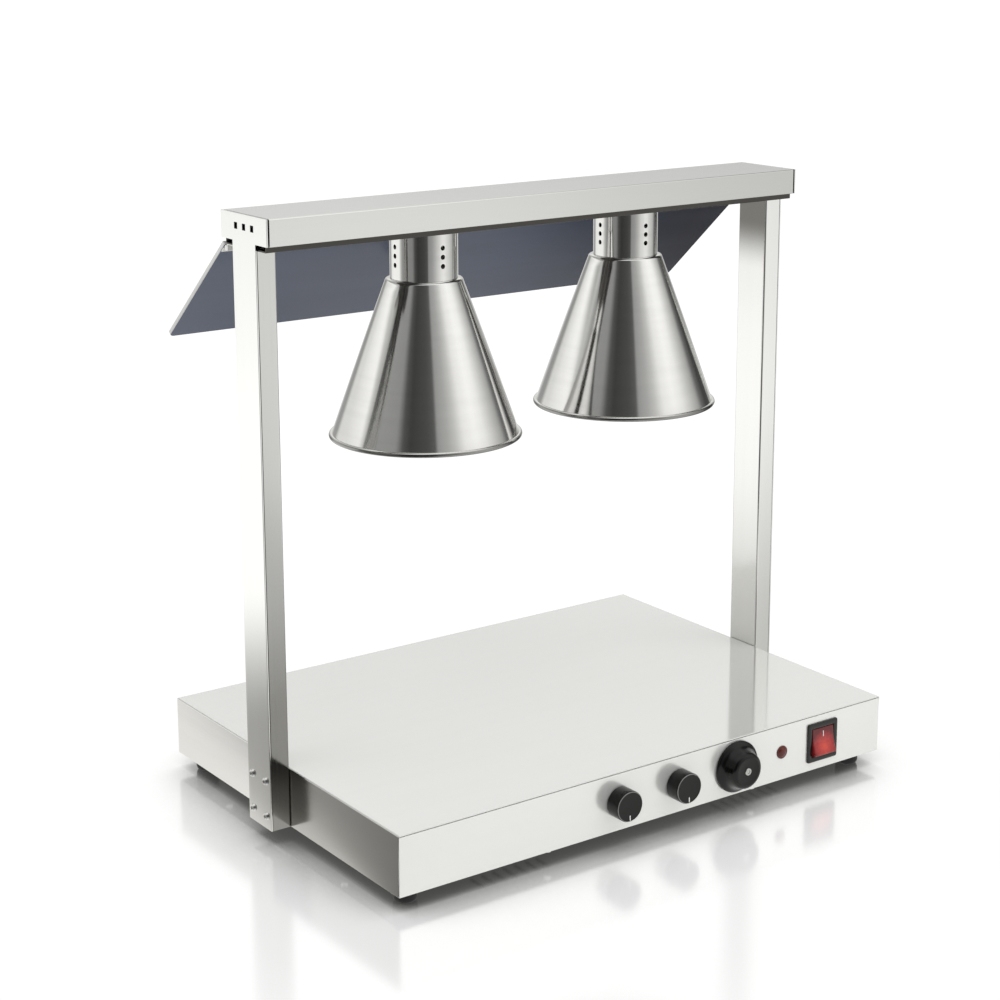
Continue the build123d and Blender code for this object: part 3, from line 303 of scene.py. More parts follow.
# knob edge: painted highlight, light grey on the face chamfer
M["knob_edge"] = plastic("knob_edge_painted_highlight", (0.16, 0.16, 0.15), 0.30, grain=1200, bump_s=0.05, var=0.35)
M["rubber_black"] = plastic("rubber_black", (0.012, 0.012, 0.012), 0.62, grain=900, bump_s=0.2, spec=0.35, var=0.3)
M["bright_insert"] = steel("turned_insert", (0.52, 0.52, 0.50), 0.24, "Z", tint=0.10, density=600)
M["white_mark"] = plastic("white_mark", (0.86, 0.86, 0.84), 0.4, grain=900, var=0.04)
M["pilot_red"] = plastic("pilot_red", (0.10, 0.009, 0.004), 0.20, grain=600, bump_s=0.03, var=0.30, spec=0.4, coat=0.25)
M["rocker_red"] = None
# bezel throat: black plastic painted dark red, a painted reflection of the red key
M["well_red"] = plastic("bezel_throat_painted_red_reflection", (0.030, 0.0012, 0.0010), 0.25, grain=600, bump_s=0.02, var=0.3, spec=0.4)
M["brass_contact"] = steel("brass_contact", (0.78, 0.60, 0.30), 0.28, "Y", tint=0.10)
M["bulb_glass"] = glassy("lamp_glass", (0.78, 0.76, 0.72), 0.14)
M["cap_alu"] = steel("cap_aluminium", (0.76, 0.76, 0.75), 0.3, "Z", tint=0.06)
# guard panel: painted shade, darker and less blue toward its right end
M["smoked_panel"] = smoked("smoked_panel", (0.074, 0.093, 0.152), painted_light_and_shade=("X", 0.04, 0.28, (1, 1, 1), (0.66, 0.54, 0.42)))
M["panel_edge"] = smoked("ground_edge", (0.62, 0.62, 0.61), 0.35)
M["wire_sleeve"] = weave("braided_sleeve", (0.78, 0.77, 0.72))
# the brushed and spun slots share the post steel with its painted shade toward the foot
M["brushed_sheet"] = M["post"]
M["spun_steel"] = M["post"]



def rocker_painted_light_and_shade():
    """Clear red key with its light and shade painted in: dark near the top edge, brightest low in the middle."""
    lo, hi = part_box("switch_rocker")
    cx, cz, h = (lo.x + hi.x) / 2, (lo.z + hi.z) / 2, (hi.z - lo.z) / 2
    m, nt, b = new_mat("rocker_red")
    tc = N(nt, "ShaderNodeTexCoord")
    mp = N(nt, "ShaderNodeMapping")
    mp.inputs["Location"].default_value = (-cx / (1.25 * h), 0, -(cz - 0.32 * h) / (1.15 * h))
    mp.inputs["Scale"].default_value = (1 / (1.25 * h), 0, 1 / (1.15 * h))
    nt.links.new(tc.outputs["Object"], mp.inputs["Vector"])
    ln = N(nt, "ShaderNodeVectorMath", operation="LENGTH")
    nt.links.new(mp.outputs["Vector"], ln.inputs[0])
    mot = noise(nt, coords(nt, (420,) * 3), 1.0, 3.0, 0.5)
    add = N(nt, "ShaderNodeMath", operation="ADD")
    sub = remap(nt, mot, -0.10, 0.10)
    nt.links.new(ln.outputs["Value"], add.inputs[0]); nt.links.new(sub, add.inputs[1])
    # painted light and shade: bright red low in the middle, near black toward the edges
    col = ramp(nt, add.outputs[0], [(0.0, (0.62, 0.070, 0.040)), (0.35, (0.46, 0.042, 0.034)), (0.75, (0.27, 0.016, 0.018)), (1.0, (0.11, 0.004, 0.007))])
    nt.links.new(col, b.inputs["Base Color"])
    b.inputs["Roughness"].default_value = 0.22
    b.inputs["Specular IOR Level"].default_value = 0.45
    b.inputs["Coat Weight"].default_value = 0.2
    b.inputs["Coat Roughness"].default_value = 0.08
    fine = noise(nt, coords(nt, (900,) * 3), 1.0, 2.0, 0.5)
    bump(nt, fine, b, 0.03, 0.00005)
    return m


M["rocker_red"] = rocker_painted_light_and_shade()
slot_of = {s["node"]: s["material_slot"] for s in frame["record"]["subparts"]}
for n, o in frame["nodes"].items():
    mat = M.get(slot_of.get(n), M["inner_sheet"])
    # the bottom pan takes the near-black steel with painted shade
    if n == "bottom_pan":
        mat = M["pan_sheet"]
    o.data.materials.clear()
    o.data.materials.append(mat)


# =====================================================================  mesh code
def obj_from(name, verts, faces, mats, smooth=True, angle=32.0, fmats=None):
    me = bpy.data.meshes.new(name)
    me.from_pydata([tuple(v) for v in verts], [], faces)
    me.validate()
    bm = bmesh.new(); bm.from_mesh(me)
    bmesh.ops.remove_doubles(bm, verts=bm.verts, dist=1e-7)
    bmesh.ops.recalc_face_normals(bm, faces=bm.faces)
    bm.to_mesh(me); bm.free()
    for mt in mats:
        me.materials.append(mt)
    if fmats and len(fmats) == len(me.polygons):
        for p, k in zip(me.polygons, fmats):
            p.material_index = k
    for p in me.polygons:
        p.use_smooth = smooth
    if smooth:
        me.set_sharp_from_angle(angle=math.radians(angle))
    ob = bpy.data.objects.new(name, me)
    SC.collection.objects.link(ob)
    return ob


def bevel(ob, width, segs=2, angle=35.0, wn=True):
    md = ob.modifiers.new("bevel", "BEVEL")
    md.width = width; md.segments = segs
    md.limit_method = "ANGLE"; md.angle_limit = math.radians(angle)
    md.harden_normals = False
    if wn:
        w = ob.modifiers.new("wn", "WEIGHTED_NORMAL")
        w.keep_sharp = True
    return ob


def box_mesh(x0, x1, y0, y1, z0, z1):
    v = [(x, y, z) for x in (x0, x1) for y in (y0, y1) for z in (z0, z1)]
    f = [(0, 1, 3, 2), (4, 6, 7, 5), (0, 4, 5, 1), (2, 3, 7, 6), (0, 2, 6, 4), (1, 5, 7, 3)]
    return v, f


def lathe(name, profile, origin, axis, mats, seg=128, closed=True, angle=28.0, mat_of=None):
    """profile: (radius, height) pairs; turned about the axis through origin (axis 'z' or '-y')."""
    verts, rings = [], []
    for r, h in profile:
        if r < 1e-9:
            rings.append([len(verts)]); verts.append((0.0, 0.0, h))
        else:
            rings.append(list(range(len(verts), len(verts) + seg)))
            for k in range(seg):
                a = 2 * math.pi * k / seg
                verts.append((r * math.cos(a), r * math.sin(a), h))
    faces, fm = [], []
    n = len(profile)
    pairs = [(i, i + 1) for i in range(n - 1)] + ([(n - 1, 0)] if closed else [])
    for i, j in pairs:
        A, B = rings[i], rings[j]
        if len(A) == 1 and len(B) == 1:
            continue
        fm += [mat_of(i) if mat_of else 0] * seg
        for k in range(seg):
            k2 = (k + 1) % seg
            if len(A) == 1:
                faces.append((A[0], B[k2], B[k]))
            elif len(B) == 1:
                faces.append((A[k], A[k2], B[0]))
            else:
                faces.append((A[k], A[k2], B[k2], B[k]))
    if axis == "z":
        vs = [(origin[0] + x, origin[1] + y, origin[2] + z) for x, y, z in verts]
    else:                                   # height runs towards -Y
        vs = [(origin[0] + x, origin[1] - z, origin[2] + y) for x, y, z in verts]
    return obj_from(name, vs, faces, mats, True, angle, fm)


def rounded(points, radii, n=5):
    """2-D outline with its corners rounded; radii one per point."""
    out = []
    m = len(points)
    for i, (p, r) in enumerate(zip(points, radii)):
        if r <= 0:
            out.append(p); continue
        a, b = Vector(points[i - 1]), Vector(points[(i + 1) % m])
        c = Vector(p)
        u, v = (a - c).normalized(), (b - c).normalized()
        ang = u.angle(v)
        d = r / math.tan(ang / 2)
        t0, t1 = c + u * d, c + v * d
        cen = c + (u + v).normalized() * (r / math.sin(ang / 2))
        s0, s1 = t0 - cen, t1 - cen
        th = s0.angle_signed(s1) if hasattr(s0, "angle_signed") else s0.angle(s1)
        cross = s0.x * s1.y - s0.y * s1.x
        tot = math.atan2(cross, s0.dot(s1))
        for k in range(n + 1):
            q = tot * k / n
            out.append((cen.x + s0.x * math.cos(q) - s0.y * math.sin(q), cen.y + s0.x * math.sin(q) + s0.y * math.cos(q)))
    return out


def extrude_x(name, outline_yz, x0, x1, mats, angle=32.0):
    n = len(outline_yz)
    v = [(x0, y, z) for y, z in outline_yz] + [(x1, y, z) for y, z in outline_yz]
    f = [(i, (i + 1) % n, n + (i + 1) % n, n + i) for i in range(n)]
    f += [tuple(range(n)), tuple(range(2 * n - 1, n - 1, -1))]
    return obj_from(name, v, f, mats, True, angle)


def extrude_z(name, outline_xy, z0, z1, mats, angle=32.0):
    n = len(outline_xy)
    v = [(x, y, z0) for x, y in outline_xy] + [(x, y, z1) for x, y in outline_xy]
    f = [(i, (i + 1) % n, n + (i + 1) % n, n + i) for i in range(n)]
    f += [tuple(range(n)), tuple(range(2 * n - 1, n - 1, -1))]
    return obj_from(name, v, f, mats, True, angle)


def put(ob, body, slot, *nodes):
    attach(ob, body)
    if nodes:
        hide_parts(*nodes)
    return ob


# ------------------------------------------------------------- sizes from the frame
lo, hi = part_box("base_top_cover")
BX0, BY0, BZ0 = lo; BX1, BY1, BZ1 = hi
T = 1.2 * MM


# =====================================================================  base
def base_cover():
    bm = bmesh.new()
    v, f = box_mesh(BX0, BX1, BY0, BY1, BZ0, BZ1)
    vs = [bm.verts.new(p) for p in v]
    for q in f:
        bm.faces.new([vs[i] for i in q])
    bm.normal_update()
    bmesh.ops.recalc_face_normals(bm, faces=bm.faces)
    kill = [fa for fa in bm.faces if fa.normal.y < -0.9 or fa.normal.z < -0.9]
    bmesh.ops.delete(bm, geom=kill, context="FACES")
    bends = []
    for e in bm.edges:
        a, b = e.verts[0].co, e.verts[1].co
        mid = (a + b) / 2
        if len(e.link_faces) == 2:
            bends.append(e)
    bmesh.ops.bevel(bm, geom=bends, offset=1.6 * MM, offset_type="OFFSET", segments=5, profile=0.5, affect="EDGES", clamp_overlap=True)
    for q in bm.verts:
        if abs(q.co.y - BY0) < 1e-6 and q.co.z < BZ1 - 1.7 * MM:
            q.co.y = BY0 + T + 0.5 * MM
    bmesh.ops.recalc_face_normals(bm, faces=bm.faces)
    me = bpy.data.meshes.new("base_cover_skin")
    bm.to_mesh(me); bm.free()
    me.materials.append(M["top_plate"]); me.materials.append(M["side_wall"])
    for p in me.polygons:
        p.use_smooth = True
        # top faces take the top plate steel, the walls the steel with painted shade
        p.material_index = 0 if p.normal.z > 0.5 else 1
    ob = bpy.data.objects.new("base_cover_skin", me)
    SC.collection.objects.link(ob)
    s = ob.modifiers.new("solid", "SOLIDIFY")
    s.thickness = T; s.offset = -1.0; s.use_even_offset = True
    b = ob.modifiers.new("bevel", "BEVEL")
    b.width = 0.25 * MM; b.segments = 2; b.limit_method = "ANGLE"; b.angle_limit = math.radians(60)
    w = ob.modifiers.new("wn", "WEIGHTED_NORMAL"); w.keep_sharp = False
    return ob


put(base_cover(), "frame", "brushed_sheet", "base_top_cover")

lo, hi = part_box("control_panel")
v, f = box_mesh(lo.x + 0.15 * MM, hi.x - 0.15 * MM, lo.y, lo.y + T, lo.z, hi.z - 0.1 * MM)
panel = obj_from("control_panel_face", v, f, [M["front_panel"]], True, 30)
bevel(panel, 0.45 * MM, 3)
put(panel, "frame", "brushed_sheet", "control_panel")


# =====================================================================  posts
def post_piece(side):
    node = "post_right" if side > 0 else "post_left"
    lo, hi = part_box(node)
    xo = hi.x if side > 0 else lo.x                      # outer face
    xi = lo.x if side > 0 else hi.x                      # face against the base
    s = 1 if side > 0 else -1
    zb, zt = lo.z, hi.z
    plo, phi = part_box("beam_pan")
    clo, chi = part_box("beam_cover")
    zlip, zf = plo.z, clo.z
    y_in, y_out = 20 * MM, 40 * MM
    # outer skin: a tall plate that widens into the end of the beam, with three square vents
    ys = sorted([-y_out, -y_in, y_in, y_out] + [c + d for c in (-14.5 * MM, -0.5 * MM, 13.5 * MM) for d in (-2.6 * MM, 2.6 * MM)])
    zc = 560 * MM
    zs = [zb, zf, zc - 2.8 * MM, zc + 2.8 * MM, zt]
    bm = bmesh.new()
    grid = {}
    for i, y in enumerate(ys):
        for j, z in enumerate(zs):
            grid[i, j] = bm.verts.new((xo, y, z))
    for i in range(len(ys) - 1):
        for j in range(len(zs) - 1):
            ym, zm = (ys[i] + ys[i + 1]) / 2, (zs[j] + zs[j + 1]) / 2
            if zm < zf and abs(ym) > y_in:
                continue
            if abs(zm - zc) < 2.8 * MM and any(abs(ym - c) < 2.6 * MM for c in (-14.5 * MM, -0.5 * MM, 13.5 * MM)):
                continue
            bm.faces.new([grid[i, j], grid[i + 1, j], grid[i + 1, j + 1], grid[i, j + 1]])
    loose = [q for q in bm.verts if not q.link_faces]
    bmesh.ops.delete(bm, geom=loose, context="VERTS")
    bmesh.ops.recalc_face_normals(bm, faces=bm.faces)
    for fa in bm.faces:
        if fa.normal.x * s < 0:
            fa.normal_flip()
    me = bpy.data.meshes.new(node + "_skin")
    bm.to_mesh(me); bm.free()
    me.materials.append(M["post"])
    skin = bpy.data.objects.new(node + "_skin", me)
    SC.collection.objects.link(skin)
    so = skin.modifiers.new("solid", "SOLIDIFY")
    so.thickness = 1.4 * MM; so.offset = -1.0
    bevel(skin, 0.3 * MM, 2, 40)
    for p in me.polygons:
        p.use_smooth = True
    put(skin, "frame", "brushed_sheet", node)
    # folded channel behind the skin
    a, b = xi, xo - s * 1.75 * MM
    t = 1.5 * MM
    out = [(b, -y_in), (a, -y_in), (a, y_in), (b, y_in), (b, y_in - t), (a + s * t, y_in - t), (a + s * t, -y_in + t), (b, -y_in + t)]
    rad = [0, 1.9 * MM, 1.9 * MM, 0, 0, 0.6 * MM, 0.6 * MM, 0]
    ch = extrude_z(node + "_channel", rounded(out, rad, 5), zb, zlip, [M["channel_%d" % side], M["channel_in_%d" % side]], 30)
    for p in ch.data.polygons:
        if p.normal.x * s < -0.9:
            p.material_index = 1
    bevel(ch, 0.2 * MM, 2, 60)
    put(ch, "frame", "brushed_sheet")


post_piece(1)
post_piece(-1)


# =====================================================================  beam cover
def beam():
    lo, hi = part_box("beam_cover")
    t = T
    r = 1.4 * MM
    out = [(lo.y, lo.z), (lo.y, hi.z), (hi.y, hi.z), (hi.y, lo.z), (hi.y - t, lo.z), (hi.y - t, hi.z - t), (lo.y + t, hi.z - t), (lo.y + t, lo.z)]
    rad = [0, r, r, 0, 0, 0.3 * MM, 0.3 * MM, 0]
    ob = extrude_x("beam_cover_skin", rounded(out, rad, 5), lo.x + 0.7 * MM, hi.x - 0.7 * MM, [M["beam"], M["beam_top"]], 30)
    for p in ob.data.polygons:
        # the top face takes the darker copy with painted shade
        if p.normal.z > 0.9 and p.center.z > hi.z - 0.2 * MM:
            p.material_index = 1
    bevel(ob, 0.25 * MM, 2, 60)
    put(ob, "frame", "brushed_sheet", "beam_cover")


beam()


# =====================================================================  lamps
def neck(side, cx):
    node = "lamp_neck_" + side
    lo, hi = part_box(node)
    R = (hi.x - lo.x) / 2
    z0, z1 = lo.z, hi.z
    hr = 2.25 * MM
    hz = [512.5 * MM, 520.8 * MM, 529.1 * MM]
    a_h = 3.2 * MM
    du = a_h / R
    # angular lines: five across each column of holes and fine ones between
    us = []
    for q in range(4):
        c = q * math.pi / 2
        us += [c - du, c - du / 2, c, c + du / 2, c + du]
        n = 11
        nxt = c + math.pi / 2 - du
        for k in range(1, n):
            us.append(c + du + (nxt - c - du) * k / n)
    us = sorted(u % (2 * math.pi) for u in us)
    zs = [z0, z0 + 0.4 * MM]
    for c in hz:
        zs += [c - a_h, c - a_h / 2, c, c + a_h / 2, c + a_h]
    zs += [z1 - 0.4 * MM, z1]
    zs = sorted(zs)
    verts, idx, faces = [], {}, []

    def vert(u, z):
        key = (round(u % (2 * math.pi), 7), round(z, 7))
        if key not in idx:
            idx[key] = len(verts)
            verts.append((cx + R * math.cos(u), R * math.sin(u), z))
        return idx[key]
    nu = len(us)
    for i in range(nu):
        u0, u1 = us[i], us[(i + 1) % nu]
        if u1 < u0:
            u1 += 2 * math.pi
        um = (u0 + u1) / 2
        col = any(abs(((um - q * math.pi / 2 + math.pi) % (2 * math.pi)) - math.pi) < du for q in range(4))
        for j in range(len(zs) - 1):
            za, zb = zs[j], zs[j + 1]
            zm = (za + zb) / 2
            if col and any(abs(zm - c) < a_h for c in hz):
                continue
            faces.append((vert(u0, za), vert(u1, za), vert(u1, zb), vert(u0, zb)))
    steps = [(-1, -1), (-.5, -1), (0, -1), (.5, -1), (1, -1), (1, -.5), (1, 0), (1, .5), (1, 1), (.5, 1), (0, 1), (-.5, 1), (-1, 1), (-1, .5), (-1, 0), (-1, -.5)]
    for q in range(4):
        uc = q * math.pi / 2
        for zc in hz:
            outer = [vert(uc + p * du, zc + w * a_h) for p, w in steps]
            inner = []
            for p, w in steps:
                L = math.hypot(p, w)
                inner.append(vert(uc + hr * p / L / R, zc + hr * w / L))
            for k in range(16):
                k2 = (k + 1) % 16
                faces.append((outer[k], outer[k2], inner[k2], inner[k]))
    mat = spun("neck_steel_" + side, (0.82, 0.815, 0.80), 0.06, cx, 0.0, 0.002)
    me = bpy.data.meshes.new(node + "_tube")
    me.from_pydata(verts, [], faces)
    me.materials.append(mat)
    bm = bmesh.new(); bm.from_mesh(me)
    bmesh.ops.remove_doubles(bm, verts=bm.verts, dist=1e-7)
    bmesh.ops.recalc_face_normals(bm, faces=bm.faces)
    for fa in bm.faces:
        c = fa.calc_center_median()
        if fa.normal.x * (c.x - cx) + fa.normal.y * c.y < 0:
            fa.normal_flip()
    bm.to_mesh(me); bm.free()
    for p in me.polygons:
        p.use_smooth = True
    ob = bpy.data.objects.new(node + "_tube", me)
    SC.collection.objects.link(ob)
    s = ob.modifiers.new("solid", "SOLIDIFY"); s.thickness = 0.9 * MM; s.offset = -1.0
    b = ob.modifiers.new("bevel", "BEVEL")
    b.width = 0.12 * MM; b.segments = 1; b.limit_method = "ANGLE"; b.angle_limit = math.radians(60)
    w = ob.modifiers.new("wn", "WEIGHTED_NORMAL"); w.keep_sharp = False
    put(ob, "frame", "spun_steel", node)


def shade(side, cx):
    node = "shade_" + side
    lo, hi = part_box(node)
    zt, zr = hi.z, lo.z
    R = (hi.x - lo.x) / 2
    br = 2.25 * MM
    rb = R - br
    zb = zr + br
    t = 1.0 * MM
    A = (36.0 * MM, zt - 3.4 * MM)
    B = (rb - 0.6 * MM, zb + 1.2 * MM)
    d = Vector((B[0] - A[0], B[1] - A[1])).normalized()
    nrm = Vector((-d.y, d.x))                      # outward, up the slope
    prof = [(20.6 * MM, zt - t), (20.6 * MM, zt)]
    prof += [(31.5 * MM, zt), (33.2 * MM, zt - 0.15 * MM), (34.4 * MM, zt - 0.6 * MM), (35.2 * MM, zt - 1.3 * MM), (35.65 * MM, zt - 2.2 * MM), A]
    n = 26
    for k in range(1, n):
        q = k / n
        bulge = math.sin(math.pi * q) * 0.35 * MM   # the spun cone is very slightly full
        prof.append((A[0] + (B[0] - A[0]) * q + nrm.x * bulge, A[1] + (B[1] - A[1]) * q + nrm.y * bulge))
    # small set-in step, then the rolled bead
    prof += [(B[0] - 0.4 * MM, B[1] + 0.9 * MM)]
    for k in range(0, 17):
        q = math.radians(118 - k * 248 / 16)
        prof.append((rb + br * math.cos(q), zb + br * math.sin(q)))
    inA = (A[0] - 1.05 * MM, A[1] - 0.35 * MM)
    inB = (B[0] - 1.3 * MM, B[1] - 0.1 * MM)
    for k in range(0, n + 1):
        q = k / n
        prof.append((inB[0] + (inA[0] - inB[0]) * q, inB[1] + (inA[1] - inB[1]) * q))
    prof += [(33.6 * MM, zt - 1.7 * MM), (31.8 * MM, zt - t)]
    mat = spun("shade_steel_" + side, (0.79, 0.785, 0.77), 0.10, cx, 0.0, 0.0)
    # rim bead: a darker copy of the shade steel, a painted reflection of dark surroundings
    dark = spun("lamp_bead_painted_shade_" + side, (0.33, 0.326, 0.315), 0.12, cx, 0.0, 0.0)
    first = 8 + n
    ob = lathe(node + "_spun", prof, (cx, 0, 0), "z", [mat, dark], 256, True, 40, lambda i: 1 if first + 5 <= i <= first + 17 else 0)
    put(ob, "frame", "spun_steel", node)


for side, s in (("left", -1), ("right", 1)):
    lo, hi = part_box("shade_" + side)
    cx = (lo.x + hi.x) / 2
    neck(side, cx)
    shade(side, cx)


# =====================================================================  controls
PY = BY0                                            # front face of the panel


def knob(side):
    node = side + "_dimmer_knob"
    lo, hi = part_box(node)
    cx, cz = (lo.x + hi.x) / 2, (lo.z + hi.z) / 2
    R = (hi.x - lo.x) / 2
    h0, h1 = -hi.y, -lo.y                           # heights towards -Y
    m = MM
    prof = [(0, h0 + 5.0 * m), (R - 2.2 * m, h0 + 5.0 * m), (R - 2.2 * m, h0), (R - 0.35 * m, h0), (R - 0.05 * m, h0 + 0.3 * m), (R, h0 + 0.8 * m),
            (R, h0 + 6.0 * m), (R - 0.06 * m, h1 - 1.5 * m), (R - 0.16 * m, h1 - 0.85 * m), (R - 0.42 * m, h1 - 0.42 * m), (R - 0.80 * m, h1 - 0.14 * m), (R - 1.15 * m, h1),
            (R - 1.55 * m, h1), (R - 1.75 * m, h1 - 0.16 * m), (R - 3.4 * m, h1 - 0.26 * m), (0, h1 - 0.30 * m)]
    # the face chamfer takes the painted highlight grey, the face the matt black
    ob = lathe(node + "_cap", prof, (cx, 0, cz), "-y", [M["knob_black"], M["knob_edge"], M["knob_face"]], 128, False, 30, lambda i: 1 if i in (9, 10) else (2 if i >= 12 else 0))
    put(ob, side + "_dimmer", "knob_black", node)
    # pointer: short raised white bar at the foot of the face
    v, f = box_mesh(cx - 0.5 * m, cx + 0.5 * m, -(h1 - 0.02 * m), -(h1 - 0.5 * m), cz - R + 0.9 * m, cz - R + 6.2 * m)
    pt = obj_from(side + "_dimmer_pointer_bar", v, f, [M["white_mark"]], True, 30)
    bevel(pt, 0.12 * m, 2)
    put(pt, side + "_dimmer", "white_mark", side + "_dimmer_pointer")


knob("left")
knob("right")


def thermo():
    node = "thermostat_knob"
    lo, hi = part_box(node)
    cx, cz = (lo.x + hi.x) / 2, (lo.z + hi.z) / 2
    R = (hi.x - lo.x) / 2
    h0, h1 = -hi.y, -lo.y
    m = MM
    prof = [(0, h0 + 3.0 * m), (21.4 * m, h0 + 3.0 * m), (21.4 * m, h0), (R - 0.5 * m, h0), (R - 0.1 * m, h0 + 0.25 * m), (R, h0 + 0.8 * m), (R - 0.05 * m, h0 + 1.7 * m),
            (R - 0.35 * m, h0 + 2.3 * m), (R - 0.95 * m, h0 + 2.8 * m), (23.0 * m, h0 + 3.4 * m), (21.9 * m, h0 + 4.1 * m), (20.9 * m, h0 + 5.0 * m), (20.1 * m, h0 + 6.1 * m),
            (19.5 * m, h0 + 7.4 * m), (18.9 * m, h0 + 9.2 * m), (18.3 * m, h0 + 10.9 * m), (17.5 * m, h1 - 3.0 * m), (16.9 * m, h1 - 1.9 * m), (16.0 * m, h1 - 1.0 * m), (15.0 * m, h1 - 0.35 * m), (13.8 * m, h1),
            (12.4 * m, h1), (11.6 * m, h1 - 0.25 * m), (4.3 * m, h1 - 0.55 * m), (3.75 * m, h1 - 0.5 * m), (3.6 * m, h1 - 0.8 * m), (3.6 * m, h1 - 1.7 * m), (0, h1 - 1.7 * m)]
    ob = lathe(node + "_body", prof, (cx, 0, cz), "-y", [M["knob_black"], M["knob_face"]], 160, False, 24, lambda i: 1 if i >= 20 else 0)
    put(ob, "thermostat", "knob_black", node)
    ins = [(0, h1 - 1.65 * m), (3.55 * m, h1 - 1.65 * m), (3.55 * m, h1 - 0.35 * m), (3.35 * m, h1 - 0.08 * m), (3.0 * m, h1), (2.3 * m, h1), (1.95 * m, h1 - 0.18 * m),
           (1.75 * m, h1 - 0.7 * m), (0.8 * m, h1 - 0.95 * m), (0, h1 - 1.0 * m)]
    io = lathe("thermostat_face_insert", ins, (cx, 0, cz), "-y", [M["bright_insert"]], 64, False, 35)
    put(io, "thermostat", "bright_insert", "thermostat_knob_insert")


thermo()


def pilot():
    lo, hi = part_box("indicator_lens")
    cx, cz = (lo.x + hi.x) / 2, (lo.z + hi.z) / 2
    R = (hi.x - lo.x) / 2
    h = -PY
    m = MM
    prof = [(0, h - 2.9 * m), (4.15 * m, h - 2.9 * m), (4.15 * m, h), (R - 0.1 * m, h), (R, h + 0.25 * m), (R - 0.15 * m, h + 0.75 * m), (R - 0.7 * m, h + 1.0 * m), (5.3 * m, h + 1.02 * m),
            (5.0 * m, h + 0.9 * m), (4.85 * m, h + 1.15 * m), (4.1 * m, h + 1.75 * m), (2.9 * m, h + 2.25 * m), (1.5 * m, h + 2.52 * m), (0, h + 2.6 * m)]
    ob = lathe("indicator_lens_dome", prof, (cx, 0, cz), "-y", [M["pilot_red"]], 72, False, 30)
    put(ob, "frame", "pilot_red", "indicator_lens")


pilot()


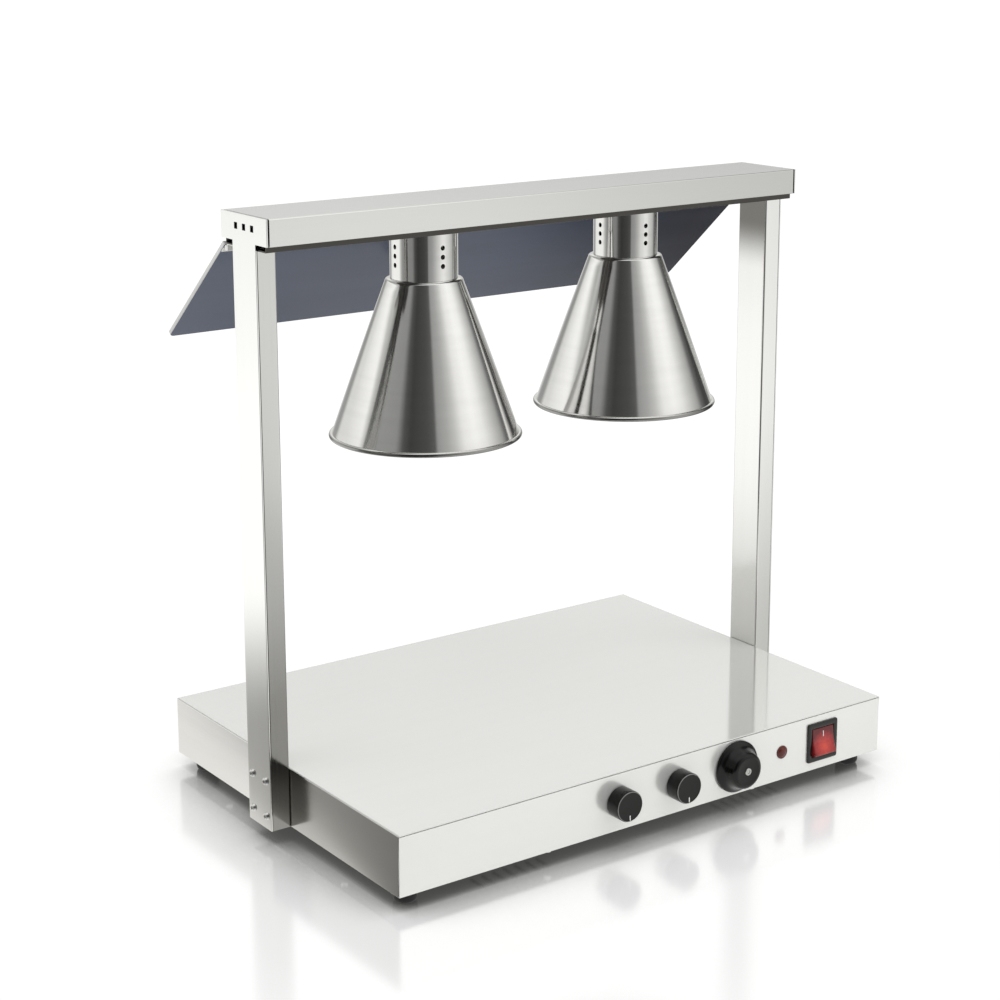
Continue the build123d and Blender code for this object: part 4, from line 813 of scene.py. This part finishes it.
def switch():
    lo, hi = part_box("switch_housing")
    cx, cz = (lo.x + hi.x) / 2, (lo.z + hi.z) / 2
    m = MM
    W, H = 19.0 * m, 19.5 * m
    ox, oz = 13.9 * m, 14.25 * m
    yb, yf = PY, lo.y
    # bezel as a lofted frame: outer foot, crowned top, inner throat
    def ring(hx, hz, r, y, n=6):
        pts = [(-hx, -hz), (hx, -hz), (hx, hz), (-hx, hz)]
        return [(cx + a, y, cz + b) for a, b in rounded(pts, [r] * 4, n)]
    loops = [ring(W, H, 2.0 * m, yb), ring(W, H, 2.0 * m, yf + 0.9 * m), ring(W - 0.25 * m, H - 0.25 * m, 1.9 * m, yf + 0.35 * m), ring(W - 0.9 * m, H - 0.9 * m, 1.6 * m, yf),
             ring(ox + 1.3 * m, oz + 1.3 * m, 0.9 * m, yf), ring(ox + 0.3 * m, oz + 0.3 * m, 0.5 * m, yf + 0.5 * m), ring(ox, oz, 0.4 * m, yf + 1.2 * m), ring(ox, oz, 0.4 * m, PY + 11.9 * m)]
    vs, fs = [], []
    n = len(loops[0])
    for L in loops:
        vs += L
    for i in range(len(loops) - 1):
        for k in range(n):
            k2 = (k + 1) % n
            fs.append((i * n + k, i * n + k2, (i + 1) * n + k2, (i + 1) * n + k))
    fs.append(tuple(range((len(loops) - 1) * n, len(loops) * n)))
    # housing body behind the panel
    base = len(vs)
    body = [ring(16.3 * m, 16.8 * m, 0.6 * m, PY + 0.05 * m), ring(16.3 * m, 16.8 * m, 0.6 * m, PY + 26 * m)]
    for L in body:
        vs += L
    for k in range(n):
        k2 = (k + 1) % n
        fs.append((base + k, base + k2, base + n + k2, base + n + k))
    fs.append(tuple(range(base + n, base + 2 * n)))
    # the inner throat loops take the painted red reflection
    fmt = [1 if 5 * n <= i < 7 * n + 1 else 0 for i in range(len(fs))]
    ob = obj_from("switch_bezel_and_body", vs, fs, [M["black_plastic"], M["well_red"]], True, 35, fmt)
    put(ob, "frame", "black_plastic", "switch_housing")

    # rocker, turned to rest about its pivot
    py, pz = PY - 0.2 * m, cz
    hw = 13.5 * m
    r = math.hypot(13.0, 4.5) * m
    a0 = math.atan2(4.5, 13.0)
    top = []
    # front face: two shallow flats meeting at a soft valley
    for k in range(0, 13):
        q = -1 + 2 * k / 12
        zz = -q * 13.0 * m
        yy = -(3.1 + 1.4 * min(1.0, abs(q)) ** 1.15) * m
        top.append((yy, zz))
    arc_low = []
    for k in range(1, 8):
        a = a0 + (-0.32 - a0) * k / 7
        arc_low.append((-r * math.sin(a), -r * math.cos(a)))
    arc_up = [(y, -z) for y, z in reversed(arc_low)]
    outline = top + arc_low + [(7.8 * m, -5 * m), (7.8 * m, 5 * m)] + arc_up
    th = math.radians(-12)
    def turn(p):
        y, z = p
        return (py + y * math.cos(th) - z * math.sin(th), pz + y * math.sin(th) + z * math.cos(th))
    pts = [turn(p) for p in outline]
    rk = extrude_x("switch_rocker_key", pts, cx - hw, cx + hw, [M["rocker_red"]], 30)
    bevel(rk, 0.9 * m, 4, 50)
    put(rk, "rocker", "rocker_red", "switch_rocker")
    # light bar mark on the upper half, lying on the slope
    def on_face(q):
        zz = -q * 13.0 * m
        yy = -(3.1 + 1.4 * min(1.0, abs(q)) ** 1.15) * m
        return yy, zz
    vs, fs = [], []
    rows = 8
    for k in range(rows + 1):
        q = -0.34 - 0.42 * k / rows
        y, z = on_face(q)
        for dx, dy in ((-0.45 * m, 0.02 * m), (-0.30 * m, -0.10 * m), (0.30 * m, -0.10 * m), (0.45 * m, 0.02 * m)):
            Y, Z = turn((y + dy, z))
            vs.append((cx + dx, Y, Z))
    for k in range(rows):
        for j in range(3):
            fs.append((k * 4 + j, k * 4 + j + 1, (k + 1) * 4 + j + 1, (k + 1) * 4 + j))
    fs.append((0, 1, 2, 3)); e = rows * 4; fs.append((e + 3, e + 2, e + 1, e))
    mk = obj_from("switch_rocker_mark", vs, fs, [M["white_mark"]], True, 60)
    put(mk, "rocker", "white_mark")


switch()


# =====================================================================  feet
def feet():
    lo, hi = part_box("rubber_feet")
    m = MM
    zt = hi.z
    vs_all, fs_all = [], []
    prof = [(2.2 * m, 5.0 * m), (4.9 * m, 5.0 * m), (4.95 * m, 0.3 * m), (5.3 * m, 0.0), (6.9 * m, 0.0), (8.3 * m, 0.35 * m), (9.4 * m, 1.2 * m), (10.2 * m, 2.5 * m), (10.65 * m, 4.4 * m),
            (10.85 * m, 9.0 * m), (10.9 * m, zt - 1.2 * m), (10.7 * m, zt - 0.5 * m), (10.3 * m, zt), (2.2 * m, zt)]
    seg = 72
    for sx in (-1, 1):
        for sy in (-1, 1):
            cx, cy = sx * 260 * m, sy * 178 * m
            base = len(vs_all)
            for r, h in prof:
                for k in range(seg):
                    a = 2 * math.pi * k / seg
                    vs_all.append((cx + r * math.cos(a), cy + r * math.sin(a), h))
            n = len(prof)
            for i in range(n):
                j = (i + 1) % n
                for k in range(seg):
                    k2 = (k + 1) % seg
                    fs_all.append((base + i * seg + k, base + i * seg + k2, base + j * seg + k2, base + j * seg + k))
    ob = obj_from("rubber_feet_turned", vs_all, fs_all, [M["rubber_black"]], True, 32)
    put(ob, "frame", "rubber_black", "rubber_feet")


feet()


# =====================================================================  rear guard
def guard():
    m = MM
    j = [q for q in frame["joints"] if q["name"] == "guard_tilt"][0]
    hy, hz = j["pos_m"][1], j["pos_m"][2]
    th = math.radians(41.4)
    s0, L, W = -1.07 * m, 150 * m, 298 * m
    g0, t = 3.0 * m, 4.0 * m
    out = [(-W, s0), (W, s0), (W, s0 + L), (-W, s0 + L)]
    o2 = rounded(out, [1.0 * m, 1.0 * m, 5.0 * m, 5.0 * m], 8)
    ch = 0.45 * m

    def inset(pts, d):
        r = []
        k = len(pts)
        for i in range(k):
            a, b, c = Vector(pts[i - 1]), Vector(pts[i]), Vector(pts[(i + 1) % k])
            e1 = (b - a).normalized(); e2 = (c - b).normalized()
            n1 = Vector((-e1.y, e1.x)); n2 = Vector((-e2.y, e2.x))
            nn = (n1 + n2).normalized()
            r.append(tuple(b + nn * d / max(0.3, nn.dot(n1))))
        return r
    loops = [(inset(o2, ch), g0), (o2, g0 + ch), (o2, g0 + t - ch), (inset(o2, ch), g0 + t)]
    vs, fs, fm = [], [], []
    n = len(o2)
    for pts, h in loops:
        for x, s in pts:
            y = hy + s * math.cos(th) + h * math.sin(th)
            z = hz - s * math.sin(th) + h * math.cos(th)
            vs.append((x, y, z))
    for i in range(3):
        for k in range(n):
            k2 = (k + 1) % n
            fs.append((i * n + k, i * n + k2, (i + 1) * n + k2, (i + 1) * n + k)); fm.append(1)
    fs.append(tuple(range(n - 1, -1, -1))); fm.append(0)
    fs.append(tuple(range(3 * n, 4 * n))); fm.append(0)
    ob = obj_from("guard_panel_sheet", vs, fs, [M["smoked_panel"], M["panel_edge"]], True, 30, fm)
    ob.visible_glossy = False
    put(ob, "guard", "smoked_panel", "guard_panel")


guard()


# =====================================================================  floor, world, light
# tone of the soft surround by compass bearing in degrees (0 along +X, 90 along +Y)
BANDS = [(-180, 0.34), (-162, 0.31), (-153, 0.09), (-143, 0.050), (-122, 0.075), (-111, 0.11), (-108, 0.36), (-95, 0.46), (-84, 0.64), (-72, 0.98), (-55, 1.15),
         (-42, 1.10), (-28, 0.85), (-14, 0.60), (-6, 0.24), (6, 0.09), (20, 0.12), (30, 0.62), (44, 0.96), (66, 0.98), (80, 0.50), (92, 0.52), (101, 1.20), (118, 1.30),
         (146, 1.28), (154, 0.62), (162, 0.36), (180, 0.34)]


HIGH = [(a, min(v, 0.42) if 98 <= a <= 150 else v) for a, v in BANDS]
# painted shade on the floor close to the warmer as polished metal sees it, by bearing from its front left corner
NEAR = [(-180, 0.07), (-100, 0.07), (-80, 0.35), (-62, 1.02), (-30, 1.05), (0, 1.0), (60, 1.0), (85, 1.08), (96, 1.08), (99.5, 0.95), (103, 0.66), (107, 0.52), (114, 0.41), (124, 0.36), (140, 0.22), (165, 0.08), (180, 0.07)]


def bearing(nt, vec, table=None, at_xy=(0, 0)):
    table = table or BANDS
    if at_xy != (0, 0):
        mp = N(nt, "ShaderNodeMapping")
        mp.inputs["Location"].default_value = (-at_xy[0], -at_xy[1], 0)
        nt.links.new(vec, mp.inputs["Vector"])
        vec = mp.outputs["Vector"]
    sep = N(nt, "ShaderNodeSeparateXYZ")
    nt.links.new(vec, sep.inputs[0])
    at = N(nt, "ShaderNodeMath", operation="ARCTAN2")
    nt.links.new(sep.outputs["Y"], at.inputs[0]); nt.links.new(sep.outputs["X"], at.inputs[1])
    fac = N(nt, "ShaderNodeMapRange")
    fac.inputs["From Min"].default_value = -math.pi; fac.inputs["From Max"].default_value = math.pi
    nt.links.new(at.outputs[0], fac.inputs["Value"])
    return ramp(nt, fac.outputs["Result"], [((a + 180) / 360, (v, v, v * 0.985)) for a, v in table]), vec if at_xy != (0, 0) else sep


def studio():
    # floor disc: pale, lightly polished, with a soft contact shadow
    me = bpy.data.meshes.new("studio_floor")
    n, R = 96, 2.2
    vs = [(0, 0, 0)] + [(R * math.cos(2 * math.pi * k / n), R * math.sin(2 * math.pi * k / n), 0) for k in range(n)]
    me.from_pydata(vs, [], [(0, 1 + k, 1 + (k + 1) % n) for k in range(n)])
    fl = bpy.data.objects.new("studio_floor", me)
    SC.collection.objects.link(fl)
    m, nt, b = new_mat("studio_floor_mat")
    out = [q for q in nt.nodes if q.type == "OUTPUT_MATERIAL"][0]
    b.inputs["Base Color"].default_value = (0.85, 0.85, 0.84, 1)
    b.inputs["Roughness"].default_value = 0.6
    tc = N(nt, "ShaderNodeTexCoord")
    # painted light and shade: what polished metal sees of the floor, banded like the surround far out and darker close
    # to the warmer on some bearings
    far, _ = bearing(nt, tc.outputs["Object"])
    near, rel = bearing(nt, tc.outputs["Object"], NEAR, (BX0, BY0))
    ln = N(nt, "ShaderNodeVectorMath", operation="LENGTH")
    nt.links.new(rel, ln.inputs[0])
    way = N(nt, "ShaderNodeMapRange", interpolation_type="SMOOTHSTEP")
    way.inputs["From Min"].default_value = 0.45; way.inputs["From Max"].default_value = 0.95
    nt.links.new(ln.outputs["Value"], way.inputs["Value"])
    both = N(nt, "ShaderNodeMix", data_type="RGBA")
    nt.links.new(way.outputs["Result"], both.inputs["Factor"])
    nt.links.new(near, both.inputs[6]); nt.links.new(far, both.inputs[7])
    em = N(nt, "ShaderNodeEmission")
    nt.links.new(both.outputs[2], em.inputs["Color"])
    em.inputs["Strength"].default_value = 0.88
    # what the camera sees: lit white, darkened where the warmer stands close, with a weak mirror image
    ao = N(nt, "ShaderNodeAmbientOcclusion")
    ao.samples = 12
    ao.inputs["Distance"].default_value = 0.15
    shade_c = ramp(nt, ao.outputs["AO"], [(0.0, (0.03, 0.03, 0.029)), (0.28, (0.08, 0.08, 0.077)), (0.46, (0.30, 0.30, 0.293)), (0.64, (0.72, 0.72, 0.71)), (0.82, (1.03, 1.03, 1.03)), (1.0, (1.07, 1.07, 1.07))])
    lit = N(nt, "ShaderNodeEmission")
    nt.links.new(shade_c, lit.inputs["Color"])
    lit.inputs["Strength"].default_value = 1.0
    gl = N(nt, "ShaderNodeBsdfGlossy")
    gl.inputs["Roughness"].default_value = 0.15
    gl.inputs["Color"].default_value = (1, 1, 1, 1)
    cam_mix = N(nt, "ShaderNodeMixShader")
    cen = N(nt, "ShaderNodeVectorMath", operation="LENGTH")
    nt.links.new(tc.outputs["Object"], cen.inputs[0])
    ease = N(nt, "ShaderNodeMapRange", interpolation_type="SMOOTHSTEP")
    ease.inputs["From Min"].default_value = 0.42; ease.inputs["From Max"].default_value = 0.80
    ease.inputs["To Min"].default_value = 0.30; ease.inputs["To Max"].default_value = 0.0
    nt.links.new(cen.outputs["Value"], ease.inputs["Value"])
    nt.links.new(ease.outputs["Result"], cam_mix.inputs[0])
    nt.links.new(lit.outputs[0], cam_mix.inputs[1]); nt.links.new(gl.outputs[0], cam_mix.inputs[2])
    lp = N(nt, "ShaderNodeLightPath")
    m1 = N(nt, "ShaderNodeMixShader")
    nt.links.new(lp.outputs["Is Glossy Ray"], m1.inputs[0])
    nt.links.new(b.outputs["BSDF"], m1.inputs[1]); nt.links.new(em.outputs[0], m1.inputs[2])
    m2 = N(nt, "ShaderNodeMixShader")
    nt.links.new(lp.outputs["Is Camera Ray"], m2.inputs[0])
    nt.links.new(m1.outputs[0], m2.inputs[1]); nt.links.new(cam_mix.outputs[0], m2.inputs[2])
    nt.links.new(m2.outputs[0], out.inputs["Surface"])
    me.materials.append(m)

    # soft surround
    w = bpy.data.worlds.new("studio")
    SC.world = w
    w.use_nodes = True
    nt = w.node_tree
    for q in list(nt.nodes):
        nt.nodes.remove(q)
    out = N(nt, "ShaderNodeOutputWorld")
    tc = N(nt, "ShaderNodeTexCoord")
    band, sep = bearing(nt, tc.outputs["Generated"])
    # a little dimmer along the horizon
    lift = N(nt, "ShaderNodeMapRange")
    lift.inputs["From Min"].default_value = -0.35; lift.inputs["From Max"].default_value = 0.35
    nt.links.new(sep.outputs["Z"], lift.inputs["Value"])
    dip = ramp(nt, lift.outputs["Result"], [(0.0, (1, 1, 1)), (0.33, (0.76, 0.76, 0.76)), (0.5, (0.68, 0.68, 0.68)), (0.66, (0.66, 0.66, 0.66)), (0.80, (0.80, 0.80, 0.80)), (0.97, (1, 1, 1))])
    high, _ = bearing(nt, tc.outputs["Generated"], HIGH)
    rise = N(nt, "ShaderNodeMapRange", interpolation_type="SMOOTHSTEP")
    rise.inputs["From Min"].default_value = 0.26; rise.inputs["From Max"].default_value = 0.36
    nt.links.new(sep.outputs["Z"], rise.inputs["Value"])
    mixh = N(nt, "ShaderNodeMix", data_type="RGBA")
    nt.links.new(rise.outputs["Result"], mixh.inputs["Factor"])
    nt.links.new(band, mixh.inputs[6]); nt.links.new(high, mixh.inputs[7])
    band = mixh.outputs[2]
    up = N(nt, "ShaderNodeMapRange", interpolation_type="SMOOTHSTEP")
    up.inputs["From Min"].default_value = 0.66; up.inputs["From Max"].default_value = 0.92
    nt.links.new(sep.outputs["Z"], up.inputs["Value"])
    mixu = N(nt, "ShaderNodeMix", data_type="RGBA")
    nt.links.new(up.outputs["Result"], mixu.inputs["Factor"])
    nt.links.new(band, mixu.inputs[6])
    mixu.inputs[7].default_value = (1.0, 1.0, 0.99, 1)
    lp = N(nt, "ShaderNodeLightPath")
    bg_room = N(nt, "ShaderNodeBackground")
    nt.links.new(mixu.outputs[2], bg_room.inputs["Color"])
    nt.links.new(dip, bg_room.inputs["Strength"])
    bg_even = N(nt, "ShaderNodeBackground")
    bg_even.inputs["Color"].default_value = (1.0, 1.0, 0.995, 1)
    bg_even.inputs["Strength"].default_value = 0.8
    bg_cam = N(nt, "ShaderNodeBackground")
    bg_cam.inputs["Color"].default_value = (1, 1, 1, 1)
    bg_cam.inputs["Strength"].default_value = 1.05
    m1 = N(nt, "ShaderNodeMixShader")
    nt.links.new(lp.outputs["Is Glossy Ray"], m1.inputs[0])
    nt.links.new(bg_even.outputs[0], m1.inputs[1]); nt.links.new(bg_room.outputs[0], m1.inputs[2])
    m2 = N(nt, "ShaderNodeMixShader")
    nt.links.new(lp.outputs["Is Camera Ray"], m2.inputs[0])
    nt.links.new(m1.outputs[0], m2.inputs[1]); nt.links.new(bg_cam.outputs[0], m2.inputs[2])
    nt.links.new(m2.outputs[0], out.inputs["Surface"])

    def area(name, loc, target, size, power, size_y=None):
        L = bpy.data.lights.new(name, "AREA")
        L.energy = power; L.size = size
        if size_y:
            L.shape = "RECTANGLE"; L.size_y = size_y
        o = bpy.data.objects.new(name, L)
        SC.collection.objects.link(o)
        o.location = loc
        o.rotation_euler = (Vector(target) - Vector(loc)).to_track_quat("-Z", "Y").to_euler()
        o.visible_glossy = False
        return o
    area("key_soft", (1.2, -1.6, 2.6), (0, 0, 0.2), 2.2, 30)
    area("fill_soft", (-2.2, 0.4, 2.0), (0, 0, 0.2), 2.0, 12)


studio()


# =====================================================================  camera
def camera():
    cam = bpy.data.cameras.new("camera")
    co = bpy.data.objects.new("camera", cam)
    SC.collection.objects.link(co)
    cx, cy, cz, yaw, pitch, roll, f, py = -1174.7, -1602.7, 805.4 + 15.0, 0.6192, 0.2233, -0.0028, 2147.9, 400.0
    fwd = Vector((math.sin(yaw) * math.cos(pitch), math.cos(yaw) * math.cos(pitch), -math.sin(pitch)))
    right = Vector((math.cos(yaw), -math.sin(yaw), 0))
    up = right.cross(fwd)
    r2 = right * math.cos(roll) + up * math.sin(roll)
    u2 = -right * math.sin(roll) + up * math.cos(roll)
    rot = Matrix((r2, u2, -fwd)).transposed()
    co.matrix_world = Matrix.Translation(Vector((cx, cy, cz)) * MM) @ rot.to_4x4()
    cam.sensor_width = 36.0
    cam.sensor_fit = "HORIZONTAL"
    cam.lens = f / 1000.0 * 36.0
    cam.shift_y = -(500.0 - py) / 1000.0
    cam.clip_start = 0.05; cam.clip_end = 100.0
    SC.camera = co


camera()
SC.view_settings.view_transform = "Standard"
SC.view_settings.look = "None"
SC.view_settings.exposure = 0.0
